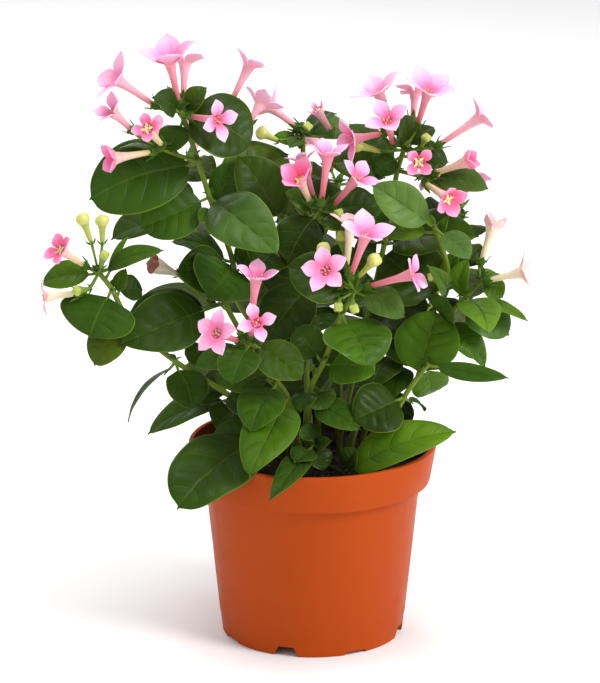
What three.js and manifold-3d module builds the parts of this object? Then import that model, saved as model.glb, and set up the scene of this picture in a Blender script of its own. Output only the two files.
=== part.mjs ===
// A potted bouvardia in flower: a nursery pot, its soil, fourteen leafy shoots and their open corollas.
// Millimetres, +Z up, the front towards -Y. The pot stands on z = 0.

import * as THREE from "three";
import { mergeVertices } from "three/addons/utils/BufferGeometryUtils.js";
import Module from "manifold-3d";

const wasm = await Module();
wasm.setup();

// Driving dimensions
const seatGap = 0.3; // between pieces that touch
const plantCentre = { x: -12, y: 20 }; // the middle of the whole plant, seen from the pot axis
const pot = {
  height: 95.5,
  rimRadius: 60,
  bandFootRadius: 57,
  bandHeight: 18.8,
  bodyTopRadius: 52.1,
  bodyFootRadius: 44.1,
  wall: 1.6,
  rimLip: 2.6,
  plateUnderside: 5,
  plateThickness: 1.6,
  sides: 28,
};
const notches = {
  large: { angles: [-17, 73, 163, 253], footWidth: 12.6, topWidth: 7.6, height: 4.9 },
  small: { angles: [28, 118, 208, -62], footWidth: 11.6, topWidth: 10.6, height: 1.5 },
};
const drainSlot = { inner: 24, outer: 36, width: 6 };
const soil = { top: 83, roughness: 1.4, rings: [24], holeDepth: 12, sectors: 14 };
const stem = { radius: 1.3, forkRadius: 0.95, stalkRadius: 0.6, pairSpacing: 5.5, step: 13 };
const blade = { thickness: 0.7, petiole: 4.5, petioleHalfWidth: 0.8 };
const tube = { footRadius: 1.15, waistRadius: 1.7, throatRadius: 3, throatDepth: 3, waistAt: 0.62 };
const lobe = { slimness: 0.5, thickness: 0.65, plainWidth: 26 }; // the widest corolla with plain lobes
const calyx = { depth: 2.6, cupRadius: 1.9, wall: 0.6, cupHeight: 1.3, toothHeight: 4.6, toothSpread: 3.1 };
const budRadius = { bud: 2.1, cream: 2.9, withered: 3.4 };

// The plan is laid out as the plant is seen from the front. A point is [across, up, depth]: where the line
// of sight meets the upright plane through the pot's axis, and how far the point lies behind that plane.
const eye = { x: -6, distance: 1525, height: 579 };

// stem: its points from the soil up. forks: [stem point, then the fork's end]; they continue the numbering.
// leaves: [point it grows from, tip, width, face], with face 90 where the upper side looks at the eye and
// 0 where it looks up, edge on; below zero it looks away. blooms: [point, foot of the tube, throat, lobes,
// opening angle, turn, width across]. buds: [point, foot, head, form].
const shoots = {
  upper_left: {
    stem: [
      [-10, 91, 6], [-23, 143, 12], [-36, 166, 10], [-38, 184, 12], [-49, 216, 4],
      [-54, 233, 2], [-62, 257, 0],
    ],
    forks: [[5, -71, 239, -8], [2, -48, 162, 0]],
    leaves: [
      [5, -106, 215, -4, 36, 75],
      [6, -29, 241, -2, 37, 54],
      [4, -17, 189, -42, 29, 75],
      [4, -82, 201, -4, 27, 70],
      [3, -67, 195, 14, 15, 40],
      [4, -11, 237, 32, 32, 84],
      [4, -54, 204, -12, 8, 70],
      [6, -75, 264, -17, 14, 60],
      [6, -50, 269, 2, 14, 45],
      [7, -93, 239, -4, 13, 8],
      [6, -67, 238, -8, 16, 65],
      [6, -68, 270, 16, 9, 40],
      [3, -50, 167, -24, 34, 87],
      [8, -92, 144, -24, 31, 70],
      [8, -88, 160, 6, 20, 60],
      [3, -65, 180, -10, 25, 72],
      [3, -27, 191, 2, 16, 60],
      [4, -36, 235, 12, 16, 70],
    ],
    blooms: [
      [6, -74, 260, -3, -91, 272, -9, 4, 65, 20, 30],
      [6, -63, 261, 0, -67, 281, -7, 4, 50, 0, 33],
      [6, -61, 263, 8, -60, 280, 14, 4, 60, 40, 26],
      [7, -85, 248, -11, -94, 257, -16, 4, 50, 30, 22],
      [7, -71, 241, -12, -78, 249, -28, 4, 70, 20, 16],
      [7, -75, 238, -12, -93, 235, -20, 4, 40, 50, 20],
      [6, -58, 255, -4, -45, 253, -20, 4, 80, 10, 22],
    ],
    buds: [
      [8, -64, 178, 4, -78, 184, -2, "withered"],
    ],
  },
  back_top: {
    stem: [[3, 94, 22], [0, 151, 34], [-3, 205, 38], [-5, 246, 34]],
    forks: [[2, -21, 230, 34], [4, -37, 253, 24]],
    leaves: [
      [3, 18, 250, 68, 19, 50],
      [3, 11, 257, 50, 13, 30],
      [3, -19, 245, 30, 8, 60],
      [3, -11, 240, 8, 9, 50],
      [3, -9, 244, 31, 12, 20],
      [2, 15, 219, 46, 26, 60],
      [4, -32, 217, 36, 24, 60],
    ],
    blooms: [
      [5, -39, 261, 22, -30, 279, 26, 4, 55, 20, 24],
      [5, -31, 251, 8, -25, 260, 13, 4, 52, 40, 25],
      [3, -7, 249, 32, -19, 259, 37, 4, 58, 20, 26],
      [3, 9, 247, 34, 2, 258, 30, 4, 35, 10, 13],
    ],
    buds: [
      [3, -16, 243, 24, -26, 248, 18, "cream"],
      [3, -4, 247, 28, -2, 251, 24, "bud"],
    ],
  },
  centre: {
    stem: [[0, 90, -2], [-3, 130, 4], [0, 175, 8], [3, 210, 0]],
    forks: [[2, -14, 203, 6]],
    leaves: [
      [4, -35, 236, 6, 26, 70],
      [4, -2, 234, 34, 24, 38],
      [3, -12, 184, -12, 24, 70],
      [3, 33, 211, 8, 20, 60],
      [3, -13, 219, -2, 10, 60],
      [2, -24, 145, -12, 27, 75],
      [2, 26, 184, 2, 26, 65],
      [4, -26, 181, -8, 26, 60],
      [3, 15, 199, -14, 12, 55],
      [1, 15, 143, 6, 24, 65],
      [1, -24, 140, 4, 24, 65],
      [2, -24, 179, 12, 24, 60],
      [2, 33, 169, 16, 22, 60],
      [2, 4, 150, 2, 22, 65],
      [1, 12, 117, 4, 20, 60],
    ],
    blooms: [
      [3, -1, 213, -4, -6, 224, -12, 4, 35, 45, 25],
      [3, 4, 213, -9, 7, 236, -11, 4, 55, 20, 24],
      [3, 9, 211, -2, 21, 225, -10, 4, 60, 30, 24],
      [3, 1, 213, 6, -5, 234, 8, 4, 55, 0, 18],
    ],
    buds: [
      [3, 10, 208, -6, 13, 208, -16, "bud"],
    ],
  },
  upper_right: {
    stem: [[13, 95, 14], [24, 147, 22], [34, 193, 26], [40, 229, 20], [43, 239, 14]],
    forks: [[3, 54, 225, 8]],
    leaves: [
      [4, 42, 255, -1, 15, 40],
      [4, 57, 250, 20, 15, 40],
      [4, 64, 233, 20, 16, 60],
      [4, 29, 228, 12, 15, 65],
      [3, 8, 233, 16, 21, 60],
      [5, 83, 220, 0, 17, 50],
      [5, 65, 218, 6, 9, 20],
      [2, 23, 218, 8, 20, 60],
      [3, 17, 252, 40, 16, 50],
      [2, 78, 198, 0, 28, 48],
      [2, 19, 190, 30, 24, 60],
      [1, 56, 163, 8, 32, 48],
    ],
    blooms: [
      [4, 39, 248, 18, 31, 266, 14, 4, 60, 10, 29],
      [4, 38, 241, 7, 35, 253, -7, 4, 60, 35, 24],
      [4, 34, 247, 8, 19, 244, 0, 4, 65, 20, 24],
      [4, 49, 250, 14, 54, 267, 6, 5, 60, 0, 30],
      [4, 47, 253, 20, 48, 266, 26, 4, 80, 30, 24],
      [4, 59, 241, 14, 78, 254, 14, 4, 60, 20, 26],
      [4, 47, 237, 8, 50, 233, -14, 4, 70, 45, 16],
      [5, 57, 227, 6, 72, 233, 0, 4, 20, 30, 18],
      [5, 53, 223, 4, 64, 215, -14, 4, 50, 20, 20],
    ],
    buds: [
      [4, 51, 240, 8, 54, 246, 4, "bud"],
      [4, 32, 238, 12, 18, 242, 4, "cream"],
    ],
  },
  centre_front: {
    stem: [[-4, 89, -14], [-1, 121, -18], [5, 134, -20], [14, 158, -26], [20, 170, -26]],
    forks: [[0, 0, 92, -30], [0, 14, 79, -28]],
    leaves: [
      [4, -12, 182, -28, 25, 70],
      [4, 44, 157, -32, 16, 65],
      [3, 27, 133, -50, 34, 60],
      [2, 30, 129, -36, 22, 65],
      [2, -8, 152, -18, 18, 70],
      [1, 7, 111, -26, 16, 60],
      [1, -6, 110, -32, 13, 60],
      [5, -3, 104, -26, 12, 60],
      [5, -9, 84, -50, 13, 60],
      [5, 7, 81, -28, 13, 60],
      [5, 9, 95, -36, 8, 60],
      [5, -21, 65, -78, 13, 70],
      [6, 69, 100, -32, 26, 48],
      [6, 21, 91, -30, 12, 60],
      [1, 23, 101, -34, 16, 62],
    ],
    blooms: [
      [4, 14, 173, -30, 6, 180, -50, 5, 82, 18, 24],
      [4, 18, 177, -37, 25, 197, -45, 4, 60, 20, 30],
      [4, 16, 181, -26, 18, 202, -24, 4, 60, 10, 24],
      [4, 26, 172, -28, 47, 178, -34, 4, 75, 40, 24],
    ],
    buds: [
      [4, 10, 179, -28, 4, 193, -34, "cream"],
      [4, 22, 177, -30, 31, 187, -38, "cream"],
      [4, 13, 166, -32, 12, 161, -44, "bud"],
      [4, 19, 166, -34, 20, 160, -46, "bud"],
      [4, 16, 184, -16, 13, 199, -22, "bud"],
    ],
  },
  lower_left: {
    stem: [[-8, 90, -18], [-12, 117, -24], [-17, 125, -26], [-27, 140, -34], [-30, 145, -36]],
    forks: [[0, -24, 98, -22]],
    leaves: [
      [4, -39, 124, -54, 21, 65],
      [4, -5, 126, -48, 22, 60],
      [3, -57, 133, -36, 14, 60],
      [2, -48, 128, -18, 18, 70],
      [2, -30, 99, -52, 23, 70],
      [1, -31, 78, -70, 27, 65],
      [5, -66, 62, -62, 40, 52],
      [5, -48, 99, -15, 13, 67],
      [1, -43, 115, -14, 20, 65],
    ],
    blooms: [
      [4, -30, 152, -34, -27, 176, -40, 4, 55, 0, 24],
      [4, -35, 145, -38, -46, 149, -52, 5, 82, 0, 24],
      [4, -30, 148, -38, -27, 154, -60, 4, 80, 15, 20],
    ],
    buds: [
    ],
  },
  left: {
    stem: [
      [-14, 93, 0], [-39, 117, -2], [-66, 135, -8], [-88, 155, -12],
      [-96, 171, -12], [-102, 179, -14],
    ],
    forks: [],
    leaves: [
      [5, -130, 174, -10, 15, 60],
      [4, -107, 147, -24, 39, 70],
      [4, -81, 171, -4, 14, 60],
      [3, -105, 133, -20, 20, 65],
      [4, -89, 181, -10, 9, 50],
      [5, -71, 190, -23, 10, 60],
      [5, -88, 197, -8, 5, 40],
      [2, -58, 111, -22, 21, 70],
      [2, -90, 105, -6, 12, 8],
      [1, -56, 124, 8, 22, 60],
      [1, -80, 99, 2, 17, 45],
      [2, -50, 142, 0, 14, 60],
      [1, -47, 102, -14, 18, 65],
    ],
    blooms: [
      [5, -108, 182, -16, -120, 190, -24, 4, 70, 45, 19],
      [5, -111, 169, -16, -128, 167, -20, 4, 100, 20, 18],
    ],
    buds: [
      [5, -105, 193, -14, -110, 208, -16, "cream"],
      [5, -100, 193, -12, -100, 207, -14, "cream"],
      [5, -101, 181, -18, -99, 189, -26, "bud"],
      [5, -106, 171, -18, -114, 170, -26, "bud"],
    ],
  },
  right: {
    stem: [[24, 96, 12], [44, 136, 10], [65, 158, 4], [73, 167, 2], [80, 175, 0]],
    forks: [],
    leaves: [
      [3, 84, 150, -41, 20, 60],
      [3, 103, 156, -8, 13, 25],
      [3, 94, 148, -4, 22, 60],
      [4, 91, 167, -4, 12, 60],
      [2, 78, 136, -6, 16, 65],
      [2, 83, 132, 6, 12, 60],
      [4, 88, 179, 10, 10, 45],
      [3, 74, 186, -2, 11, 60],
      [1, 36, 115, -14, 18, 65],
      [2, 64, 166, -4, 20, 48],
      [3, 64, 167, 8, 12, 48],
    ],
    blooms: [
      [4, 80, 184, 2, 85, 200, 2, 4, 22, 30, 22],
      [4, 83, 175, -4, 99, 179, -8, 4, 58, 10, 23],
    ],
    buds: [
    ],
  },
  right_rosette: {
    stem: [[19, 94, -4], [38, 140, 12], [64, 170, 6], [58, 201, -14]],
    forks: [],
    leaves: [
      [3, 28, 222, -14, 20, 75],
      [3, 75, 186, -26, 14, 60],
      [3, 30, 198, -6, 13, 50],
      [2, 68, 190, 13, 10, 60],
      [2, 56, 182, -36, 10, 60],
      [2, 34, 188, 24, 36, 75],
      [3, 54, 208, -12, 5, 50],
      [3, 64, 207, -14, 5, 50],
      [1, 59, 148, 28, 26, 48],
      [1, 29, 123, -12, 22, 65],
    ],
    blooms: [
    ],
    buds: [
      [2, 60, 174, -16, 56, 178, -20, "bud"],
    ],
  },
  right_low: {
    stem: [[34, 92, -10], [44, 117, -14], [55, 133, -16]],
    forks: [],
    leaves: [
      [2, 94, 127, -28, 9, 80],
      [2, 57, 118, -2, 19, 78],
      [1, 20, 106, -32, 27, 75],
      [1, 54, 110, -4, 8, 5],
      [2, 34, 154, 34, 24, 82],
      [2, 62, 137, -4, 6, 30],
      [2, 59, 160, 2, 32, 75],
    ],
    blooms: [
    ],
    buds: [
    ],
  },
  back_left: {
    stem: [[-6, 92, 14], [-24, 130, 34], [-44, 168, 52], [-58, 205, 62], [-64, 228, 66]],
    forks: [],
    leaves: [
      [1, -62, 118, 70, 30, -40],
      [1, -2, 112, 26, 28, -50],
      [2, -84, 160, 70, 30, -35],
      [2, -14, 158, 80, 28, -45],
      [3, -96, 196, 66, 28, -30],
      [3, -33, 196, 93, 28, -38],
      [3, -81, 219, 98, 30, -74],
      [4, -90, 224, 74, 22, -30],
      [4, -46, 226, 90, 22, -40],
      [4, -52, 236, 48, 16, -20],
    ],
    blooms: [
      [4, -66, 234, 70, -74, 246, 84, 4, 75, 0, 24],
      [4, -58, 236, 74, -52, 248, 90, 4, 75, 20, 24],
    ],
    buds: [],
  },
  back_middle: {
    stem: [[12, 99, 30], [13, 128, 48], [12, 166, 68], [12, 200, 78], [12, 222, 80]],
    forks: [],
    leaves: [
      [1, 36, 109, 70, 30, -62],
      [1, -20, 122, 81, 22, -26],
      [2, 44, 156, 88, 30, -33],
      [2, -22, 150, 118, 28, -38],
      [2, 14, 140, 108, 30, -60],
      [3, 44, 200, 70, 28, -35],
      [3, -18, 204, 84, 26, -40],
      [3, 12, 184, 116, 28, -60],
      [4, 34, 226, 84, 20, -30],
      [4, -8, 228, 88, 20, -30],
    ],
    blooms: [
      [4, 8, 230, 84, 0, 244, 96, 4, 75, 10, 24],
      [4, 16, 230, 84, 26, 243, 94, 4, 70, 30, 24],
    ],
    buds: [],
  },
  back_right: {
    stem: [[16, 92, 20], [36, 126, 36], [54, 158, 52], [66, 188, 60], [70, 204, 62]],
    forks: [],
    leaves: [
      [1, 39, 97, 30, 28, -40],
      [1, 26, 108, 64, 26, -50],
      [2, 84, 148, 84, 30, -35],
      [2, 38, 146, 80, 28, -50],
      [3, 81, 184, 62, 24, -30],
      [3, 50, 184, 81, 28, -50],
      [3, 76, 166, 90, 28, -50],
      [4, 78, 197, 74, 16, -30],
      [4, 52, 210, 80, 20, -30],
    ],
    blooms: [
      [4, 70, 212, 66, 74, 225, 78, 4, 75, 0, 24],
      [4, 66, 212, 68, 58, 225, 82, 4, 70, 20, 24],
    ],
    buds: [],
  },
  back_low: {
    stem: [[-8, 100, 32], [-8, 120, 44], [-8, 142, 56]],
    forks: [],
    leaves: [
      [1, -44, 126, 68, 26, -50],
      [1, 19, 128, 28, 20, -26],
      [2, -36, 132, 92, 26, -38],
      [2, 24, 130, 96, 26, -50],
      [1, 6, 100, 38, 24, -50],
    ],
    blooms: [],
    buds: [],
  },
};

const up = new THREE.Vector3(0, 0, 1);

function seen([across, height, depth]) {
  const spread = (eye.distance + depth) / eye.distance;
  const x = eye.x + (across - eye.x) * spread;
  const z = eye.height + (height - eye.height) * spread;
  return new THREE.Vector3(x, depth, z);
}

function towardsEye(point) {
  return new THREE.Vector3(eye.x, -eye.distance, eye.height).sub(point).normalize();
}

// The part of a vector square to an axis, one unit long
function squareTo(axis, vector) {
  return vector.clone().addScaledVector(axis, -vector.dot(axis)).normalize();
}

function randomFrom(seed) {
  let state = seed;
  return () => {
    state = (state * 1664525 + 1013904223) % 4294967296;
    return state / 4294967296;
  };
}

// Solids: a closed geometry as a Manifold, and back
function solidOf(geometry) {
  const bare = geometry.clone();
  bare.deleteAttribute("normal");
  bare.deleteAttribute("uv");
  const merged = mergeVertices(bare, 1e-4);
  const vertProperties = new Float32Array(merged.attributes.position.array);
  const triVerts = new Uint32Array(merged.index.array);
  return new wasm.Manifold(new wasm.Mesh({ numProp: 3, vertProperties, triVerts }));
}

function geometryOf(solid) {
  const mesh = solid.getMesh();
  const geometry = new THREE.BufferGeometry();
  geometry.setAttribute("position", new THREE.BufferAttribute(new Float32Array(mesh.vertProperties), 3));
  geometry.setIndex(new THREE.BufferAttribute(new Uint32Array(mesh.triVerts), 1));
  geometry.computeVertexNormals();
  return geometry;
}

function joined(solids) {
  return solids.reduce((whole, solid) => whole.add(solid));
}

// A closed skin collects triangles between points and becomes a solid.
class Skin {
  constructor() {
    this.triangles = [];
  }

  face(a, b, c) {
    this.triangles.push(a, b, c);
  }

  quad(a, b, c, d) {
    this.face(a, b, c);
    this.face(a, c, d);
  }

  fan(ring, point) {
    ring.forEach((corner, i) => this.face(corner, ring[(i + 1) % ring.length], point));
  }

  band(lower, upper) {
    lower.forEach((corner, i) => {
      const next = (i + 1) % lower.length;
      this.quad(corner, lower[next], upper[next], upper[i]);
    });
  }

  geometry() {
    return new THREE.BufferGeometry().setFromPoints(this.triangles);
  }

  solid() {
    return solidOf(this.geometry());
  }
}

// Fills between two rows of one to three points, the same way from both ends
function zip(skin, near, far, turned) {
  const face = (a, b, c) => (turned ? skin.face(c, b, a) : skin.face(a, b, c));
  const middle = Math.max(near.length, far.length) - 1;
  const at = (row, step) => row[Math.round((step * (row.length - 1)) / middle)];
  for (let step = 0; step < middle; step += 1) {
    const [a, b] = [at(near, step), at(near, step + 1)];
    const [c, d] = [at(far, step), at(far, step + 1)];
    const leansRight = step * 2 < middle;
    if (a === b || c === d) {
      if (a !== b) face(a, b, c);
      if (c !== d) face(a, d, c);
    } else if (leansRight) {
      face(a, b, c);
      face(b, d, c);
    } else {
      face(a, b, d);
      face(a, d, c);
    }
  }
}

// A thin blade of even thickness: rows of points on its upper side, and the same rows moved through it
function bladeSkin(rows, through) {
  const skin = new Skin();
  const under = rows.map((row) => row.map((point) => point.clone().add(through)));
  for (let i = 1; i < rows.length; i += 1) {
    zip(skin, rows[i - 1], rows[i], false);
    zip(skin, under[i - 1], under[i], true);
    skin.quad(rows[i - 1][0], rows[i][0], under[i][0], under[i - 1][0]);
    skin.quad(rows[i].at(-1), rows[i - 1].at(-1), under[i - 1].at(-1), under[i].at(-1));
  }
  const [first, firstUnder] = [rows[0], under[0]];
  for (let i = 1; i < first.length; i += 1) {
    skin.quad(first[i], first[i - 1], firstUnder[i - 1], firstUnder[i]);
  }
  return skin;
}

// Rows of a leaf's outline: how far along the blade, and how wide next to its widest. The leaves at the
// back, which look away from the eye, have the plainest.
const leafRows = {
  long: [[0.14, 0.8], [0.46, 1], [0.8, 0.7]],
  round: [[0.08, 0.78], [0.46, 1], [0.82, 0.78]],
  small: [[0.22, 0.9], [0.7, 0.88]],
};

function leafSolid(root, leaf, random) {
  const [, across, height, depth, width, face] = leaf;
  const tip = seen([across, height, depth]);
  const chord = tip.clone().sub(root);
  const length = chord.length();
  const along = chord.clone().normalize();
  const toEye = squareTo(along, towardsEye(tip));
  const level = along.clone().cross(toEye);
  if (level.z < 0) level.negate();
  const tilt = THREE.MathUtils.degToRad(face);
  const top = toEye.multiplyScalar(Math.sin(tilt)).addScaledVector(level, Math.cos(tilt)).normalize();
  const side = top.clone().cross(along);
  const bow = length * (0.05 + 0.07 * random());
  const fold = 0.12 + 0.14 * random();
  const sway = (random() - 0.5) * 0.08 * length;
  const petiole = Math.min(blade.petiole, length * 0.2);
  const reach = length - petiole;
  const place = (part, out, lift) => {
    const bent = 4 * part * (1 - part);
    return root.clone()
      .addScaledVector(along, petiole + reach * part)
      .addScaledVector(top, bow * bent + lift)
      .addScaledVector(side, out + sway * bent);
  };
  const edge = blade.petioleHalfWidth;
  const rows = [
    [root],
    [place(0, edge, 0), place(0, -edge, 0)],
  ];
  const broad = width > length * 0.72;
  const outline = length < 52 || face < 0 ? leafRows.small : broad ? leafRows.round : leafRows.long;
  for (const [part, spread] of outline) {
    const half = (width / 2) * spread;
    rows.push([place(part, half, fold * half), place(part, 0, 0), place(part, -half, fold * half)]);
  }
  rows.push([tip]);
  return bladeSkin(rows, top.multiplyScalar(-blade.thickness)).solid();
}

function rod(path, radius, sides, steps) {
  const section = new THREE.Shape();
  for (let i = 0; i < sides; i += 1) {
    const angle = (i * 2 * Math.PI) / sides;
    const corner = [radius * Math.cos(angle), radius * Math.sin(angle)];
    if (i === 0) section.moveTo(...corner);
    else section.lineTo(...corner);
  }
  return new THREE.ExtrudeGeometry(section, { steps, bevelEnabled: false, extrudePath: path });
}

// The frame of a bloom: its axis from foot to throat, and the direction that its first lobe is turned from
function bloomFrame(bloom) {
  const [, footAcross, footUp, footDepth, across, height, depth] = bloom;
  const foot = seen([footAcross, footUp, footDepth]);
  const throat = seen([across, height, depth]);
  const axis = throat.clone().sub(foot);
  const length = axis.length();
  axis.normalize();
  const reference = Math.abs(axis.z) < 0.8 ? up : new THREE.Vector3(0, -1, 0);
  const first = squareTo(axis, reference);
  return { foot, length, axis, first, second: axis.clone().cross(first) };
}

function inFrame(frame, radius, angle, along) {
  return frame.foot.clone()
    .addScaledVector(frame.first, radius * Math.cos(angle))
    .addScaledVector(frame.second, radius * Math.sin(angle))
    .addScaledVector(frame.axis, along);
}

function ringOf(frame, count, start, radius, along) {
  return Array.from({ length: count }, (_, i) => {
    return inFrame(frame, radius, start + (i * 2 * Math.PI) / count, along);
  });
}

function corollaSolid(bloom) {
  const [lobes, opening, turn, width] = bloom.slice(7);
  const frame = bloomFrame(bloom);
  const skin = new Skin();
  const count = lobes * 2;
  const start = THREE.MathUtils.degToRad(turn);
  const lean = THREE.MathUtils.degToRad(opening);
  const mouth = ringOf(frame, count, start, tube.throatRadius, frame.length);
  const under = ringOf(frame, count, start, tube.throatRadius, frame.length - lobe.thickness);
  const waist = ringOf(frame, lobes, start, tube.waistRadius, frame.length * tube.waistAt);
  const foot = ringOf(frame, lobes, start, tube.footRadius, calyx.cupHeight + 1);
  skin.fan(foot.slice().reverse(), frame.foot);
  skin.band(foot, waist);
  waist.forEach((corner, i) => {
    const next = waist[(i + 1) % lobes];
    skin.face(corner, next, under[i * 2 + 1]);
    skin.face(corner, under[i * 2 + 1], under[i * 2]);
    skin.face(next, under[(i * 2 + 2) % count], under[i * 2 + 1]);
  });
  skin.fan(mouth, inFrame(frame, 0, 0, frame.length - tube.throatDepth));
  const reach = width / 2 - tube.throatRadius;
  for (let i = 0; i < lobes; i += 1) {
    const angle = start + (i * 2 * Math.PI) / lobes;
    const outward = inFrame(frame, 1, angle, 0).sub(frame.foot);
    const along = outward.clone().multiplyScalar(Math.sin(lean)).addScaledVector(frame.axis, Math.cos(lean));
    const side = frame.axis.clone().cross(outward);
    const inside = along.clone().cross(side);
    const place = (part, out, lift) => {
      return inFrame(frame, tube.throatRadius, angle, frame.length)
        .addScaledVector(along, reach * part)
        .addScaledVector(side, reach * lobe.slimness * out)
        .addScaledVector(inside, lift);
    };
    const [left, centre, right] = [i * 2 + 1, i * 2, i * 2 + count - 1].map((k) => k % count);
    const top = [
      [mouth[left], mouth[centre], mouth[right]],
      [place(0.42, 1, 0.4), place(0.42, -1, 0.4)],
      [place(0.76, 0.62, 0.3), place(0.76, -0.62, 0.3)],
      [place(1, 0, 0)],
    ];
    if (width <= lobe.plainWidth) top.splice(2, 1);
    const through = inside.clone().multiplyScalar(-lobe.thickness);
    const bottom = top.map((row) => row.map((point) => point.clone().add(through)));
    bottom[0] = [under[left], under[centre], under[right]];
    for (let row = 1; row < top.length; row += 1) {
      zip(skin, top[row - 1], top[row], false);
      zip(skin, bottom[row - 1], bottom[row], true);
      skin.quad(top[row - 1][0], top[row][0], bottom[row][0], bottom[row - 1][0]);
      skin.quad(top[row].at(-1), top[row - 1].at(-1), bottom[row - 1].at(-1), bottom[row].at(-1));
    }
  }
  return skin.solid();
}

// The four corners of a stalk's lower end, square to the way it runs and in step with a frame's ring
function stalkEnd(root, frame, startAngle) {
  const run = inFrame(frame, 0, 0, -calyx.depth).sub(root).normalize();
  const corners = ringOf(frame, 4, startAngle, 1, 0);
  return corners.map((corner) => {
    return root.clone().addScaledVector(squareTo(run, corner.sub(frame.foot)), stem.stalkRadius);
  });
}

// A flower stalk and its calyx, a cup of four teeth under the foot of a tube
function calyxSolid(root, bloom) {
  const frame = bloomFrame(bloom);
  const corner = Math.PI / 4;
  const end = stalkEnd(root, frame, corner);
  const base = ringOf(frame, 4, corner, stem.stalkRadius * 1.3, -calyx.depth);
  const teeth = ringOf(frame, 4, 0, calyx.toothSpread, calyx.toothHeight);
  const outer = ringOf(frame, 4, corner, calyx.cupRadius + calyx.wall, calyx.cupHeight);
  const inner = ringOf(frame, 4, corner, calyx.cupRadius, calyx.cupHeight);
  const floor = inFrame(frame, 0, 0, -seatGap);
  const skin = new Skin();
  skin.quad(end[3], end[2], end[1], end[0]);
  skin.band(end, base);
  teeth.forEach((tooth, i) => {
    const [before, after] = [(i + 3) % 4, i];
    skin.face(base[before], base[after], tooth);
    skin.face(base[before], tooth, outer[before]);
    skin.face(base[after], outer[after], tooth);
    skin.face(floor, inner[before], tooth);
    skin.face(floor, tooth, inner[after]);
    skin.face(outer[before], tooth, inner[before]);
    skin.face(outer[after], inner[after], tooth);
  });
  return skin.solid();
}

// An unopened bud on its stalk: four sided, narrow at its foot and widest near its pointed head
function budSolid(root, bud) {
  const frame = bloomFrame(bud);
  const radius = budRadius[bud[7]];
  const end = stalkEnd(root, frame, 0);
  const collar = ringOf(frame, 4, 0, radius * 0.45, frame.length * 0.1);
  const shoulder = ringOf(frame, 4, 0, radius, frame.length * 0.74);
  const skin = new Skin();
  skin.quad(end[3], end[2], end[1], end[0]);
  skin.band(end, collar);
  skin.band(collar, shoulder);
  skin.fan(shoulder, inFrame(frame, 0, 0, frame.length));
  return skin.solid();
}

// A shoot's stem runs on a smooth curve from its hole in the soil, and its forks are straight.
function stemOf(shoot) {
  const points = shoot.stem.map(seen);
  const base = points[0];
  const foot = new THREE.Vector3(base.x, base.y, soil.top - soil.holeDepth);
  const collar = new THREE.Vector3(base.x, base.y, soil.top + 1);
  const end = pastEnd(points.at(-2), points.at(-1));
  const curve = new THREE.CatmullRomCurve3([foot, collar, ...points, end]);
  const forks = [];
  for (const [from, ...tip] of shoot.forks) {
    const start = points[from] ?? forks[from - points.length].to;
    forks.push({ from: start, to: seen(tip) });
  }
  return { points, curve, forks };
}

function pastEnd(from, to) {
  return to.clone().addScaledVector(to.clone().sub(from).normalize(), stem.radius);
}

// Where something grows: at a point of the stem or a fork's end. Leaves that share a point stand in
// pairs, each pair lower on the stem than the one before.
function rootOf({ points, curve, forks }, point, rank = 0) {
  const drop = Math.floor(rank / 2) * stem.pairSpacing;
  if (point >= points.length) {
    const { from, to } = forks[point - points.length];
    return to.clone().lerp(from, Math.min(0.8, drop / to.distanceTo(from)));
  }
  const below = point > 0 ? points[point].distanceTo(points[point - 1]) : points[1].distanceTo(points[0]);
  const share = point > 0 ? -drop / below : drop / below;
  const hidden = 2; // the curve's points under the first of the stem
  return curve.getPoint((point + hidden + share) / (curve.points.length - 1));
}

function stemSolids({ curve, forks }) {
  const steps = Math.round(curve.getLength() / stem.step);
  const solids = [solidOf(rod(curve, stem.radius, 4, steps))];
  for (const { from, to } of forks) {
    solids.push(solidOf(rod(new THREE.LineCurve3(from, pastEnd(from, to)), stem.forkRadius, 4, 1)));
  }
  return solids;
}

function shootSolid(shoot, seed) {
  const random = randomFrom(seed);
  const grown = stemOf(shoot);
  const ranks = {};
  const solids = stemSolids(grown);
  for (const leaf of shoot.leaves) {
    const rank = ranks[leaf[0]] ?? 0;
    ranks[leaf[0]] = rank + 1;
    solids.push(leafSolid(rootOf(grown, leaf[0], rank), leaf, random));
  }
  shoot.blooms.forEach((bloom) => solids.push(calyxSolid(rootOf(grown, bloom[0]), bloom)));
  shoot.buds.forEach((bud) => solids.push(budSolid(rootOf(grown, bud[0]), bud)));
  return joined(solids);
}

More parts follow.
